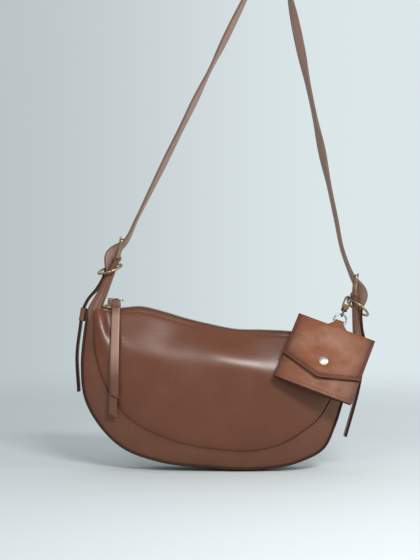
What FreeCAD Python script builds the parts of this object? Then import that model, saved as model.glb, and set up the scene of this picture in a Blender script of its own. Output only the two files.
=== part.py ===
import FreeCAD, Part
import math
import os
from FreeCAD import Placement, Rotation, Vector

# Half moon shoulder bag with a clip-on card pouch, hanging by its strap.
# Millimetres. The bag is drawn in its own frame: s along the zip from its closed end,
# h down from the leather's top edge, y from front (negative) to back.
# It is then tilted as it hangs, with the origin where the strap hangs.

# How the bag hangs
hang_tilt = 7.7
hang_along = 146.9
hang_height = 466.4
peg_radius = 12.5

# Bag body
zip_length = 308.0
body_drop = 175.5
half_depth = 35.0
gusset_half = 24.0
corner_depth = 8.0
corner_gusset = 8.0
mouth_half = 7.0
corner_overlap = 7.0
right_overlap = 2.0
leather = 1.8
seam_gap = 0.3
band_least = 4.0
band_width = 25.0
piping_radius = 1.6
piping_gap = 0.75
lining_wall = 0.7
lining_gap = 0.4
crest_share = 0.5
round_share = 0.95
depth_swell_share = 0.6
gusset_swell_share = 0.7
band_swell_share = 0.55
slope_step_share = 0.001
outline_shares = [
    (-0.070, 0.006), (-0.071, 0.211), (-0.063, 0.425), (-0.030, 0.647), (0.033, 0.799),
    (0.136, 0.936), (0.292, 1.0), (0.481, 0.995), (0.666, 0.966), (0.849, 0.868),
    (0.930, 0.764), (0.962, 0.603), (0.981, 0.425), (1.002, 0.217), (1.031, -0.017),
]
section_count = 21
piping_side_count = 8
profile_points = 7
gusset_skip_count = 1
piping_skip_count = 1
lining_skip_count = 2

# Zip
tape_wall = 0.7
tape_gap = 0.5
tape_drop = 9.0
tape_overrun = 6.5
teeth_start = 4.0
tooth_pitch = 3.0
tooth_long = 1.3
tooth_reach = 0.6
tooth_root = 3.0
tooth_thick = 2.4
tooth_neck_share = 0.6
zip_rise = 1.0
fit_gap = 0.05
stop_long = 1.4
stop_wide = 1.8

# Zip slider and its pull
slider_rest = 2.0
slider_long = 13.0
slider_half = 4.5
slider_taper_share = 0.8
slider_plate = 1.5
slider_gap = 0.3
slider_neck_long = 3.2
slider_neck_half = 1.0
slider_under_half = 3.7
bail_long = 7.0
bail_half = 1.1
bail_hole_radius = 1.5
bail_wall = 1.4
bail_rise = 6.0
pull_ring_long = 16.0
pull_ring_front = 12.0
pull_ring_back = 4.0
pull_wire_radius = 0.9
pull_ring_corner = 2.5
thong_width = 9.5
thong_wall = 1.6
thong_gap = 0.3
thong_clear = 1.2
front_tail_drop = 108.0
rear_tail_drop = 132.0
tail_slant = 4.0
thong_sag_share = 1.6
tail_row_count = 13
collar_wall = 0.9
collar_tall = 2.4
collar_rise = 1.6

# Strap, tabs, buckles and keeper rings
strap_width = 15.0
strap_wall = 3.0
strap_gap = 0.5
strap_bow = 3.0
strap_rest_share = 0.7
strap_bend = 40.0
strap_flat = 30.0
strap_twist = 35.0
twist_shares = [0, 0.45, 0.38, 0.6, 1.0, 0.3, 0]
tab_leather = 2.3
tab_width = 15.0
bar_clear = 0.3
buckle_wire_radius = 1.7
buckle_pitch = 24.0
buckle_side_gap = 1.0
buckle_corner = 2.4
buckle_strap_gap = 1.0
prong_radius = 1.1
prong_clear = 0.4
prong_eye_wall = 1.2
prong_eye_half = 1.6
prong_overhang = 2.5
running_gap = 0.06
hole_radius = 1.8
hole_pitch = 20.0
hole_count = 3
ring_radius = 15.5
ring_wire_radius = 1.5
ring_drop = 16.0
ring_offset = 3.5
ring_tilt = 42.0
left_ring_roll = 13.0
right_ring_roll = -12.0
keeper_wall = 1.8
keeper_tall = 16.0
keeper_gap = 0.5
keeper_drop = 8.0
left_tab_length = 66.0
left_tab_lean = 15.9
left_buckle_lean = 7.4
left_tail_out = 10.4
left_tail_drop = 108.0
left_tail_shares = [(0.8, -0.037), (1.0, 0.53), (0.1, 1.0)]
right_tab_length = 57.0
right_tab_lean = 11.2
right_buckle_lean = 4.1
right_tail_out = 7.0
right_tail_drop = 119.0
right_tail_shares = [(1.0, -0.034), (0.9, 0.504), (0.36, 0.739), (-0.3, 1.0)]

# Swivel clasp
pouch_turn = 22.2
pouch_lean = 25.0
clasp_thick = 4.0
hook_inner = 2.7
hook_bar = 2.0
hook_reach = 7.5
hook_nose = 1.2
hook_base = 5.0
gate_width = 2.2
gate_gap = 0.3
gate_pin_radius = 0.8
post_radius = 1.3
post_head_radius = 1.8
post_head = 1.1
collar_radius = 3.9
collar_long = 3.0
eye_half = 4.2
eye_wire_radius = 1.1
eye_long = 7.9

# Card pouch
pouch_width = 99.0
pouch_height = 85.0
pouch_leather = 1.6
pouch_gap = 2.4
pouch_corner = 5.0
welt_width = 4.0
pocket_drop = 9.0
flap_side = 53.0
flap_point = 68.0
flap_fold_radius = 0.75
flap_tip_radius = 6.0
flap_gap = 1.6
snap_drop = 47.0
snap_cap_radius = 6.25
snap_cap_rise = 2.2
snap_socket_radius = 5.0
snap_stud_radius = 2.2
snap_stud_rise = 1.4
d_ring_half = 7.5
d_ring_corner = 1.5
d_ring_side = 4.0
d_ring_wire_radius = 1.1
pouch_tab_leather = 1.4
pouch_tab_top = 11.0
pouch_tab_shoulder = 5.0
pouch_tab_base = 25.0
pouch_tab_lap = 12.0
d_ring_to_pouch = 13.3

cut_overrun = 5.0
Y_AXIS = Vector(0, 1, 0)
FRONT = -1
BACK = 1


def at(s, h, y=0):
    """A point of the bag's own frame as a vector."""
    return Vector(s, y, -h)


def add(point, *steps):
    """Moves a flat point (s, h) along (direction, distance) steps."""
    s, h = point
    for direction, distance in steps:
        s += direction[0] * distance
        h += direction[1] * distance
    return (s, h)


def box(s0, s1, h0, h1, y0, y1):
    return Part.makeBox(s1 - s0, y1 - y0, h1 - h0, at(s0, h1, y0))


def prism(points, y0, y1):
    """Extrudes a flat outline of (s, h) points from y0 to y1."""
    loop = [at(s, h, y0) for s, h in points]
    return Part.Face(Part.makePolygon(loop + loop[:1])).extrude(Y_AXIS * (y1 - y0))


def rod(start, end, radius):
    return Part.makeCylinder(radius, start.distanceToPoint(end), start, end - start)


def y_rod(point, radius, half):
    """A round bar along y, centred on a flat point."""
    return Part.makeCylinder(radius, 2 * half, at(point[0], point[1], -half), Y_AXIS)


def fused(shapes):
    whole = shapes[0].multiFuse(shapes[1:])
    return whole.removeSplitter()


def rounded_path(points, radius):
    """Straight runs joined by tangent arcs, each as large as radius and its runs allow."""
    edges = []
    start = points[0]
    for before, corner, after in zip(points, points[1:], points[2:]):
        back = (before - corner).normalize()
        ahead = (after - corner).normalize()
        half_turn = (math.pi - back.getAngle(ahead)) / 2
        room = min((before - corner).Length, (after - corner).Length) / 2
        cut = min(radius * math.tan(half_turn), room)
        bend = cut / math.tan(half_turn)
        inward = (back + ahead).normalize()
        middle = corner + inward * (bend / math.cos(half_turn) - bend)
        enter = corner + back * cut
        leave = corner + ahead * cut
        if enter.distanceToPoint(start) > fit_gap:
            edges.append(Part.LineSegment(start, enter).toShape())
        edges.append(Part.Arc(enter, middle, leave).toShape())
        start = leave
    edges.append(Part.LineSegment(start, points[-1]).toShape())
    return edges


def swept(edges, profile):
    return Part.Wire(edges).makePipeShell([profile], True, False)


def wire_loop(points, corner, radius):
    """A round wire bent into a closed loop with rounded corners."""
    middle = (points[0] + points[-1]) * 0.5
    edges = rounded_path([middle] + points + [middle], corner)
    start = points[0] - middle
    profile = Part.Wire(Part.Circle(middle, start, radius).toShape())
    return swept(edges, profile)


def spline(points):
    """A smooth edge through the points, with the same knots for every section."""
    curve = Part.BSplineCurve()
    last = len(points) - 1
    curve.interpolate(Points=points, Parameters=[n / last for n in range(len(points))])
    return curve.toShape()


def line(start, end):
    return Part.LineSegment(start, end).toShape()


# The bag's body as a fan of flat sections from the zip line out to the curved edge
outline = Part.BSplineCurve()
outline.interpolate([at(s * zip_length, h * body_drop) for s, h in outline_shares])


def edge_point(u):
    first, last = outline.FirstParameter, outline.LastParameter
    return outline.value(first + (last - first) * u)


def top_point(u):
    return at((zip_length + corner_overlap + right_overlap) * u - corner_overlap, 0)


def swell(u, power):
    return max(math.sin(math.pi * u), 0) ** power


def depth_at(u):
    return corner_depth + (half_depth - corner_depth) * swell(u, depth_swell_share)


def gusset_at(u):
    return corner_gusset + (gusset_half - corner_gusset) * swell(u, gusset_swell_share)


def bulge(depth, gusset, share):
    """Half thickness of the bag at a share of the way from zip to edge."""
    if share <= crest_share:
        return mouth_half + (depth - mouth_half) * math.sin(math.pi / 2 * share / crest_share)
    way = round_share * (share - crest_share) / (1 - crest_share)
    low = math.sqrt(1 - round_share ** 2)
    return gusset + (depth - gusset) * (math.sqrt(1 - way ** 2) - low) / (1 - low)


def section_length(u):
    return edge_point(u).distanceToPoint(top_point(u))


def edge_normal(u):
    """The direction square to the body's edge, away from the bag."""
    first, last = outline.FirstParameter, outline.LastParameter
    return Y_AXIS.cross(outline.tangent(first + (last - first) * u)[0])


def edge_share(u, inset):
    """How much of a section an inset from the body's edge takes up."""
    direction = (edge_point(u) - top_point(u)).normalize()
    return inset / (direction.dot(edge_normal(u)) * section_length(u))


def skin_point(u, share, inset, side):
    """A point on the skin of the section at u, set in along the section's normal."""
    length = section_length(u)
    depth, gusset = depth_at(u), gusset_at(u)
    ahead = min(share + slope_step_share, 1)
    behind = max(share - slope_step_share, 0)
    rise = (bulge(depth, gusset, ahead) - bulge(depth, gusset, behind)) / (ahead - behind) / length
    norm = math.hypot(rise, 1)
    along = share * length + inset * rise / norm
    out = bulge(depth, gusset, share) - inset / norm
    direction = (edge_point(u) - top_point(u)).normalize()
    return top_point(u) + direction * along + Y_AXIS * (side * out)


def sections(skip=0):
    """Places along the body, closer together near its two corners."""
    last = section_count - 1
    return [(1 - math.cos(math.pi * n / last)) / 2 for n in range(skip, section_count - skip)]


def band_start(u):
    """The share of a section where the crescent band begins."""
    return 1 - edge_share(u, band_least + (band_width - band_least) * swell(u, band_swell_share))


def skin_curve(u, start, end, inset, side):
    shares = [start + (end - start) * n / (profile_points - 1) for n in range(profile_points)]
    return [skin_point(u, share, inset, side) for share in shares]


def sheet_section(u, start, end, side):
    outer = skin_curve(u, start, end, 0, side)
    inner = skin_curve(u, start, end, leather, side)[::-1]
    return Part.Wire([spline(outer), line(outer[-1], inner[0]), spline(inner), line(inner[-1], outer[0])])


def panel(side):
    rows = [sheet_section(u, 0, band_start(u) - edge_share(u, seam_gap), side) for u in sections()]
    return Part.makeLoft(rows, True, False)


def band(side):
    return Part.makeLoft([sheet_section(u, band_start(u), 1, side) for u in sections()], True, False)


def gusset_section(u):
    edge, direction = edge_point(u), edge_normal(u)
    half = gusset_at(u) - leather - seam_gap
    inner = edge - direction * leather
    loop = [edge - Y_AXIS * half, edge + Y_AXIS * half, inner + Y_AXIS * half, inner - Y_AXIS * half]
    return Part.makePolygon(loop + loop[:1])


def gusset():
    return Part.makeLoft([gusset_section(u) for u in sections(gusset_skip_count)], True, False)


def piping_section(u, side):
    edge, direction = edge_point(u), edge_normal(u)
    reach = piping_radius + piping_gap
    centre = edge + direction * reach + Y_AXIS * (side * (gusset_at(u) - leather / 2))
    turns = [2 * math.pi * n / piping_side_count for n in range(piping_side_count + 1)]
    rim = [centre + (direction * math.cos(a) + Y_AXIS * math.sin(a)) * piping_radius for a in turns]
    return Part.makePolygon(rim)


def piping(side):
    return Part.makeLoft([piping_section(u, side) for u in sections(piping_skip_count)], True, False)


def lining_section(u):
    outer_inset = leather + lining_gap
    inner_inset = outer_inset + lining_wall
    start = (tape_wall + lining_gap) / section_length(u)
    outer_end = 1 - edge_share(u, leather + lining_gap + seam_gap)
    inner_end = outer_end - edge_share(u, lining_wall)
    edges = []
    outer_front = skin_curve(u, start, outer_end, outer_inset, FRONT)
    outer_back = skin_curve(u, start, outer_end, outer_inset, BACK)[::-1]
    inner_back = skin_curve(u, start, inner_end, inner_inset, BACK)
    inner_front = skin_curve(u, start, inner_end, inner_inset, FRONT)[::-1]
    runs = [outer_front, outer_back, inner_back, inner_front]
    for run, following in zip(runs, runs[1:] + runs[:1]):
        edges.append(spline(run))
        edges.append(line(run[-1], following[0]))
    return Part.Wire(edges)


def lining():
    return Part.makeLoft([lining_section(u) for u in sections(lining_skip_count)], True, True)


# Zip
tooth_top = -zip_rise - tooth_thick / 2
tooth_bottom = -zip_rise + tooth_thick / 2
tape_edge = tooth_root + fit_gap
tape_outer = mouth_half - leather - tape_gap


def tape(side):
    top = -zip_rise - tape_wall / 2
    start, end = -tape_overrun, zip_length
    flat = box(start, end, top, top + tape_wall, tape_edge, tape_outer)
    flange = box(start, end, top, tape_drop, tape_outer - tape_wall, tape_outer)
    strip = fused([flat, flange])
    return strip if side == BACK else strip.mirror(at(0, 0), Y_AXIS)


def tooth(s, side):
    """One tooth: a root clamped on the tape's edge and a nib that reaches past the middle."""
    half = tooth_long / 2
    shoulder = tooth_reach - tooth_long
    nib = half * tooth_neck_share
    rows = [(-half, -tooth_root), (half, -tooth_root), (half, shoulder), (nib, tooth_reach), (-nib, tooth_reach),
            (-half, shoulder)]
    loop = [at(s + along, tooth_bottom, -side * across) for along, across in rows]
    return Part.Face(Part.makePolygon(loop + loop[:1])).extrude(Vector(0, 0, tooth_thick))


def teeth(side):
    count = int((zip_length - 2 * teeth_start) / tooth_pitch)
    shift = tooth_pitch / 2 if side == BACK else 0
    return Part.makeCompound([tooth(teeth_start + n * tooth_pitch + shift, side) for n in range(count)])


def zip_stops():
    """Two stops at the closed end and a box stop at the open end."""
    inner = tooth_root - stop_wide
    left = -tape_overrun + fit_gap
    pair = [box(left, left + stop_long, tooth_top, tooth_bottom, inner, tooth_root),
            box(left, left + stop_long, tooth_top, tooth_bottom, -tooth_root, -inner)]
    right = zip_length - stop_long
    return Part.makeCompound(pair + [box(right, zip_length, tooth_top, tooth_bottom, -tooth_root, tooth_root)])


# Slider
plate_low = tooth_top - slider_gap
plate_high = plate_low - slider_plate
under_high = tooth_bottom + slider_gap
under_low = under_high + slider_plate
bail_height = plate_high - bail_rise
pull_pivot = (slider_rest, bail_height)


def shield(half, h0, h1):
    """A slider plate: square at the back and narrowed towards its front end."""
    back = slider_rest + slider_long / 2
    nose = slider_rest - slider_long / 2
    shoulder = nose + slider_long / 3
    narrow = half * slider_taper_share
    rows = [(back, -narrow), (back, narrow), (shoulder, half), (nose, narrow), (nose, -narrow), (shoulder, -half)]
    loop = [at(s, h1, y) for s, y in rows]
    return Part.Face(Part.makePolygon(loop + loop[:1])).extrude(Vector(0, 0, h1 - h0))


def slider():
    nose = slider_rest - slider_long / 2
    top = shield(slider_half, plate_high, plate_low)
    under = shield(slider_under_half, under_high, under_low)
    neck = box(nose, nose + slider_neck_long, plate_high, under_low, -slider_neck_half, slider_neck_half)
    flange_low = -zip_rise - tape_wall / 2 - slider_gap
    back = slider_rest + slider_long / 2
    flanges = []
    for side in (FRONT, BACK):
        edges = sorted([side * (tape_edge + slider_gap), side * slider_half * slider_taper_share])
        flanges.append(box(nose, back, plate_high, flange_low, edges[0], edges[1]))
    start = slider_rest - bail_long / 2
    peak = bail_height - bail_hole_radius - bail_wall
    bail = box(start, start + bail_long, peak, plate_low, -bail_half, bail_half)
    arch = [e for e in bail.Edges if abs(e.Vertexes[0].Z + peak) < fit_gap and e.Length < bail_long
            and abs(e.Vertexes[1].Z + peak) < fit_gap]
    bail = bail.makeFillet(bail_wall, arch)
    bail = bail.cut(y_rod(pull_pivot, bail_hole_radius, cut_overrun))
    return fused([top, under, neck, bail] + flanges)


def pull_ring():
    """A wire link that passes through the bail and carries the thong along its front side."""
    s0, h = pull_pivot
    s1 = s0 + pull_ring_long
    corners = [at(s0, h, pull_ring_back), at(s0, h, -pull_ring_front), at(s1, h, -pull_ring_front),
               at(s1, h, pull_ring_back)]
    return wire_loop(corners, pull_ring_corner, pull_wire_radius)


# Thong: a strip folded over the link, with two tails that hang over the bag's front
fold_radius = pull_wire_radius + thong_gap + thong_wall / 2
thong_middle = slider_rest + pull_ring_long / 2
belly_height = crest_share * body_drop


def thong_rear(h):
    """How far in front of the zip the rear tail's middle hangs, clear of the bag's belly."""
    top = pull_ring_front - fold_radius
    belly = half_depth + thong_clear + thong_wall / 2
    way = max((belly_height - h) / (belly_height - bail_height), 0)
    return belly - (belly - top) * way ** thong_sag_share


def thong_front(h):
    """The front tail leaves the fold a fold's width away and closes on the rear tail."""
    way = min(max((h - bail_height) / -bail_height, 0), 1)
    near = thong_wall + thong_gap
    return thong_rear(h) + near + (2 * fold_radius - near) * (1 - way)


def tail(reach, drop, slant):
    """A strip that follows reach(h) from the fold down to a slanted end."""
    rows = [bail_height + (drop - bail_height) * n / (tail_row_count - 1) for n in range(tail_row_count)]
    half = thong_wall / 2
    s0 = thong_middle - thong_width / 2
    outer = [at(s0, h, -reach(h) - half) for h in rows]
    inner = [at(s0, h, -reach(h) + half) for h in rows][::-1]
    edges = [spline(outer), line(outer[-1], inner[0]), spline(inner), line(inner[-1], outer[0])]
    strip = Part.Face(Part.Wire(edges)).extrude(Vector(thong_width, 0, 0))
    reach_end = half_depth + 2 * cut_overrun
    low = [at(s0, drop, -reach_end), at(s0 + thong_width, drop, -reach_end), at(s0, drop - slant, -reach_end)]
    corner = Part.Face(Part.makePolygon(low + low[:1])).extrude(Y_AXIS * reach_end)
    return strip.cut(corner)


def thong():
    centre = at(thong_middle - thong_width / 2, bail_height, -pull_ring_front)
    along = Vector(1, 0, 0)
    outer = Part.makeCylinder(fold_radius + thong_wall / 2, thong_width, centre, along)
    fold = outer.cut(Part.makeCylinder(fold_radius - thong_wall / 2, thong_width, centre, along))
    reach = pull_ring_front + cut_overrun
    start = thong_middle - thong_width
    below = box(start, start + 2 * thong_width, bail_height, bail_height + cut_overrun, -reach, 0)
    fold = fold.cut(below)
    return fused([fold, tail(thong_rear, rear_tail_drop, tail_slant), tail(thong_front, front_tail_drop, tail_slant)])


def thong_collar():
    """A stitched band that closes the fold below the link."""
    low = -collar_rise
    high = low - collar_tall
    half = thong_width / 2 + thong_gap
    inner = min(thong_rear(high), thong_rear(low)) - thong_wall / 2 - thong_gap
    outer = max(thong_front(high), thong_front(low)) + thong_wall / 2 + thong_gap
    shell = box(thong_middle - half - collar_wall, thong_middle + half + collar_wall, high, low,
                -outer - collar_wall, -inner + collar_wall)
    return shell.cut(box(thong_middle - half, thong_middle + half, high - cut_overrun, low + cut_overrun,
                         -outer, -inner))


# Each side's tab, buckle, keeper ring and strap end
class Side:
    """The flat places of one side's hardware, from the body's corner up to the buckle."""

    def __init__(self, sign, u, length, lean, buckle_lean, roll, tail_places):
        lean, tip = math.radians(lean), math.radians(buckle_lean)
        self.sign = sign
        top, edge = top_point(u), edge_point(u)
        self.inner_foot = (top.x, -top.z)
        self.outer_foot = (edge.x, -edge.z)
        self.base = ((top.x + edge.x) / 2, -(top.z + edge.z) / 2)
        self.base_half = top.distanceToPoint(edge) / 2
        self.up = (-sign * math.sin(lean), -math.cos(lean))
        self.out = (sign * math.cos(lean), -math.sin(lean))
        self.heel = add(self.base, (self.up, length))
        self.length = length
        self.buckle_up = (-sign * math.sin(tip), -math.cos(tip))
        self.buckle_out = (sign * math.cos(tip), -math.sin(tip))
        self.front = add(self.heel, (self.buckle_up, buckle_pitch))
        self.roll = math.radians(roll)
        self.tail_places = tail_places
        tilt = math.radians(ring_tilt)
        self.ring_centre = add(self.heel, (self.up, -ring_drop), (self.out, ring_offset))
        self.ring_out = (self.out[0] * math.cos(tilt) - self.up[0] * math.sin(tilt),
                         self.out[1] * math.cos(tilt) - self.up[1] * math.sin(tilt))
        self.ring_up = (self.up[0] * math.cos(tilt) + self.out[0] * math.sin(tilt),
                        self.up[1] * math.cos(tilt) + self.out[1] * math.sin(tilt))
        self.ring_inner_end = add(self.ring_centre, (self.ring_out, -ring_radius))

    def tab_half(self, below):
        """Half the tab's thickness at a distance below the buckle's heel bar."""
        return tab_leather + (self.base_half - tab_leather) * below / self.length

    def strap_points(self):
        """The strap's middle line from the buckle down to its end."""
        beside = buckle_wire_radius + buckle_strap_gap + strap_wall / 2
        over = buckle_wire_radius + bar_clear + tab_leather + strap_gap + strap_wall / 2
        ring_off = self.tab_half(ring_drop) + strap_gap * 2 + strap_wall / 2
        mid_off = self.tab_half(self.length * strap_rest_share) + strap_gap * 2 + strap_wall / 2
        points = [add(self.front, (self.buckle_out, -beside)),
                  add(self.heel, (self.buckle_out, over + strap_bow)),
                  add(self.heel, (self.up, -ring_drop), (self.out, ring_off)),
                  add(self.heel, (self.up, -self.length * strap_rest_share), (self.out, mid_off))]
        for across, drop in self.tail_places:
            points.append((self.outer_foot[0] + self.sign * across - self.sign * strap_gap, drop))
        return points


left = Side(-1, 0, left_tab_length, left_tab_lean, left_buckle_lean, left_ring_roll,
            [(left_tail_out * out, left_tail_drop * drop) for out, drop in left_tail_shares])
right = Side(1, 1, right_tab_length, right_tab_lean, right_buckle_lean, right_ring_roll,
             [(right_tail_out * out, right_tail_drop * drop) for out, drop in right_tail_shares])


def tab(side):
    """A leather tab folded round the buckle's heel bar and sewn to the bag's corner."""
    heel = side.heel
    foot_gap = (side.up, seam_gap)
    leg = [add(side.inner_foot, foot_gap), add(side.outer_foot, foot_gap),
           add(heel, (side.out, tab_leather)), add(heel, (side.out, -tab_leather))]
    half = tab_width / 2
    outer = y_rod(heel, buckle_wire_radius + bar_clear + tab_leather, half)
    body = fused([outer, prism(leg, -half, half)])
    body = body.cut(y_rod(heel, buckle_wire_radius + bar_clear, half + cut_overrun))
    reach = buckle_wire_radius + bar_clear + tab_leather + cut_overrun
    slot_half = prong_eye_half + bar_clear
    slot = [add(heel, (side.out, -reach), (side.up, -buckle_wire_radius * 2)),
            add(heel, (side.out, reach), (side.up, -buckle_wire_radius * 2)),
            add(heel, (side.out, reach), (side.up, reach)), add(heel, (side.out, -reach), (side.up, reach))]
    return body.cut(prism(slot, -slot_half, slot_half))


def buckle_frame(side):
    half = strap_width / 2 + buckle_side_gap + buckle_wire_radius
    corners = [at(*side.heel, -half), at(*side.heel, half), at(*side.front, half), at(*side.front, -half)]
    return wire_loop(corners, buckle_corner, buckle_wire_radius)


def prong_line(side):
    """From the heel bar to a tip that rests on the outside of the far bar."""
    lift = (buckle_wire_radius + prong_radius + seam_gap) * (buckle_pitch + prong_overhang) / buckle_pitch
    tip = add(side.front, (side.buckle_out, lift), (side.buckle_up, prong_overhang))
    return at(*side.heel), at(*tip)


def prong(side):
    start, tip = prong_line(side)
    eye_radius = buckle_wire_radius + running_gap + prong_eye_wall
    eye = y_rod(side.heel, eye_radius, prong_eye_half)
    shank = rod(start, tip, prong_radius).fuse(Part.makeSphere(prong_radius, tip))
    whole = fused([eye, shank])
    return whole.cut(y_rod(side.heel, buckle_wire_radius + running_gap, cut_overrun))


def keeper_ring(side):
    normal = at(*side.ring_up) * math.cos(side.roll) - Y_AXIS * math.sin(side.roll)
    return Part.makeTorus(ring_radius, ring_wire_radius, at(*side.ring_centre), normal)


def leather_keeper(side):
    """A leather loop on the bag's side that holds the strap's end."""
    points = side.strap_points()
    above, below = at(*points[4]), at(*points[5])
    down = (below - above).normalize()
    across = down.cross(Y_AXIS)
    start = above + down * keeper_drop
    inner_half = (strap_wall / 2 + keeper_gap, strap_width / 2 + keeper_gap)

    def block(wall, overrun):
        across_half, y_half = inner_half[0] + wall, inner_half[1] + wall
        foot = start - down * overrun
        loop = [foot + across * (a * across_half) + Y_AXIS * (b * y_half)
                for a, b in ((-1, -1), (1, -1), (1, 1), (-1, 1))]
        return Part.Face(Part.makePolygon(loop + loop[:1])).extrude(down * (keeper_tall + 2 * overrun))

    return block(keeper_wall, 0).cut(block(0, cut_overrun))


# Shoulder strap
tilt = math.radians(hang_tilt)
world_up = (-math.sin(tilt), -math.cos(tilt))
hang_point = (hang_along, -hang_height)
peg_centre = add(hang_point, (world_up, -peg_radius))


def tangent_point(side):
    """Where the strap leaves the peg on its straight run to one buckle."""
    goal = side.strap_points()[0]
    reach = peg_radius + strap_wall / 2
    ds, dh = goal[0] - peg_centre[0], goal[1] - peg_centre[1]
    distance = math.hypot(ds, dh)
    turn = math.acos(reach / distance) * side.sign
    angle = math.atan2(dh, ds) - turn
    return (peg_centre[0] + reach * math.cos(angle), peg_centre[1] + reach * math.sin(angle))


def ribbon_section(centre, direction, turn):
    """The strap's flat section, turned about its own run."""
    across = direction.cross(Y_AXIS)
    wide = Y_AXIS * math.cos(turn) + across * math.sin(turn)
    thin = across * math.cos(turn) - Y_AXIS * math.sin(turn)
    wide, thin = wide * (strap_width / 2), thin * (strap_wall / 2)
    loop = [centre + wide + thin, centre - wide + thin, centre - wide - thin, centre + wide - thin]
    return Part.makePolygon(loop + loop[:1])


def ribbon(points, bend):
    edges = rounded_path(points, bend)
    direction = (points[1] - points[0]).normalize()
    return swept(edges, ribbon_section(points[0], direction, 0))


def strap():
    pieces = []
    arch = []
    for side in (left, right):
        lower = [at(*p) for p in side.strap_points()]
        leave = at(*tangent_point(side))
        run = (lower[0] - leave).normalize()
        upper_end = leave + run * strap_flat
        lower_start = lower[0] - run * strap_flat
        pieces.append(ribbon([lower_start] + lower, strap_bend))
        twist = [math.radians(strap_twist * share) for share in twist_shares]
        last = len(twist) - 1
        places = [lower_start + (upper_end - lower_start) * (n / last) for n in range(last + 1)]
        rows = [ribbon_section(place, run, turn) for place, turn in zip(places, twist)]
        pieces.append(Part.makeLoft(rows, True, False))
        arch.append((upper_end, leave))
    crown = at(*add(peg_centre, (world_up, peg_radius + strap_wall / 2)))
    edges = [line(arch[0][0], arch[0][1]), Part.Arc(arch[0][1], crown, arch[1][1]).toShape(),
             line(arch[1][1], arch[1][0])]
    direction = (arch[0][1] - arch[0][0]).normalize()
    pieces.append(swept(edges, ribbon_section(arch[0][0], direction, 0)))
    whole = fused(pieces)
    for side in (left, right):
        start, tip = prong_line(side)
        whole = whole.cut(rod(start, tip, prong_radius + prong_clear))
        whole = whole.cut(Part.makeCompound(strap_holes(side)))
    return whole


def strap_holes(side):
    """Spare buckle holes in the strap's straight end."""
    points = side.strap_points()
    above, below = at(*points[-2]), at(*points[-1])
    down = (below - above).normalize()
    across = down.cross(Y_AXIS)
    holes = []
    for n in range(hole_count):
        place = below - down * (hole_pitch / 2 + n * hole_pitch / 2)
        holes.append(rod(place - across * cut_overrun, place + across * cut_overrun, hole_radius))
    return holes


# Swivel clasp and pouch, drawn flat: u across, v down from the ring that the hook holds, n to the front
hook_outer = hook_inner + hook_bar
hook_floor = hook_reach
hook_end = hook_floor + hook_base
collar_top = hook_end + seam_gap
collar_end = collar_top + collar_long
eye_bottom = collar_end + eye_long
d_ring_top = eye_bottom - eye_wire_radius - d_ring_wire_radius - running_gap
d_ring_bar = d_ring_top + d_ring_half + d_ring_side
pouch_top = d_ring_bar + d_ring_to_pouch
gate_pivot = (-hook_inner - hook_bar / 2, hook_floor + hook_base / 3)


def plate(points, n0, n1):
    return prism(points, -n1, -n0)


def clasp_hook():
    half = clasp_thick / 2
    bow = y_rod((0, 0), hook_outer, half).cut(y_rod((0, 0), hook_inner, half + cut_overrun))
    reach = hook_outer + cut_overrun
    bow = bow.cut(box(-reach, reach, 0, reach, -reach, reach))
    spine = box(hook_inner, hook_outer, 0, hook_floor, -half, half)
    nose = box(-hook_outer, -hook_inner, 0, hook_nose, -half, half)
    taper = post_radius + post_head_radius
    base = plate([(-hook_outer, hook_floor), (hook_outer, hook_floor), (hook_outer, hook_floor + hook_base / 2),
                  (taper, hook_end), (-taper, hook_end), (-hook_outer, hook_floor + hook_base / 2)], -half, half)
    post_end = collar_end + seam_gap
    post = rod(at(0, hook_end - seam_gap), at(0, post_end), post_radius)
    head = rod(at(0, post_end), at(0, post_end + post_head), post_head_radius)
    body = fused([bow, spine, nose, base, post, head])
    slot_half = gate_width / 2 + gate_gap
    root = gate_width / 2 + gate_gap
    deep = hook_bar / 2 + gate_gap * 2
    slot = box(-hook_outer - cut_overrun, gate_pivot[0] + deep + root, hook_floor - cut_overrun,
               gate_pivot[1] + root, -slot_half, slot_half)
    return body.cut(slot).cut(y_rod(gate_pivot, gate_pin_radius, half + cut_overrun))


def clasp_gate():
    """The sprung lever that closes the hook."""
    half = gate_width / 2
    u = gate_pivot[0]
    bar = box(u - half, u + half, hook_nose + gate_gap, gate_pivot[1], -half, half)
    knuckle = y_rod(gate_pivot, half, half)
    return fused([bar, knuckle]).cut(y_rod(gate_pivot, gate_pin_radius + running_gap, clasp_thick))


def clasp_gate_pin():
    return y_rod(gate_pivot, gate_pin_radius, clasp_thick / 2)


def swivel_eye():
    collar = rod(at(0, collar_top), at(0, collar_end), collar_radius)
    collar = collar.cut(rod(at(0, collar_top - cut_overrun), at(0, collar_end + cut_overrun),
                            post_radius + running_gap))
    side = eye_half - eye_wire_radius
    top = collar_end - eye_wire_radius
    bow = eye_bottom - side
    edges = [line(at(0, top, -side), at(0, bow, -side)),
             Part.Arc(at(0, bow, -side), at(0, eye_bottom, 0), at(0, bow, side)).toShape(),
             line(at(0, bow, side), at(0, top, side))]
    profile = Part.Wire(Part.Circle(at(0, top, -side), Vector(0, 0, 1), eye_wire_radius).toShape())
    return fused([collar, swept(edges, profile)])


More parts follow.
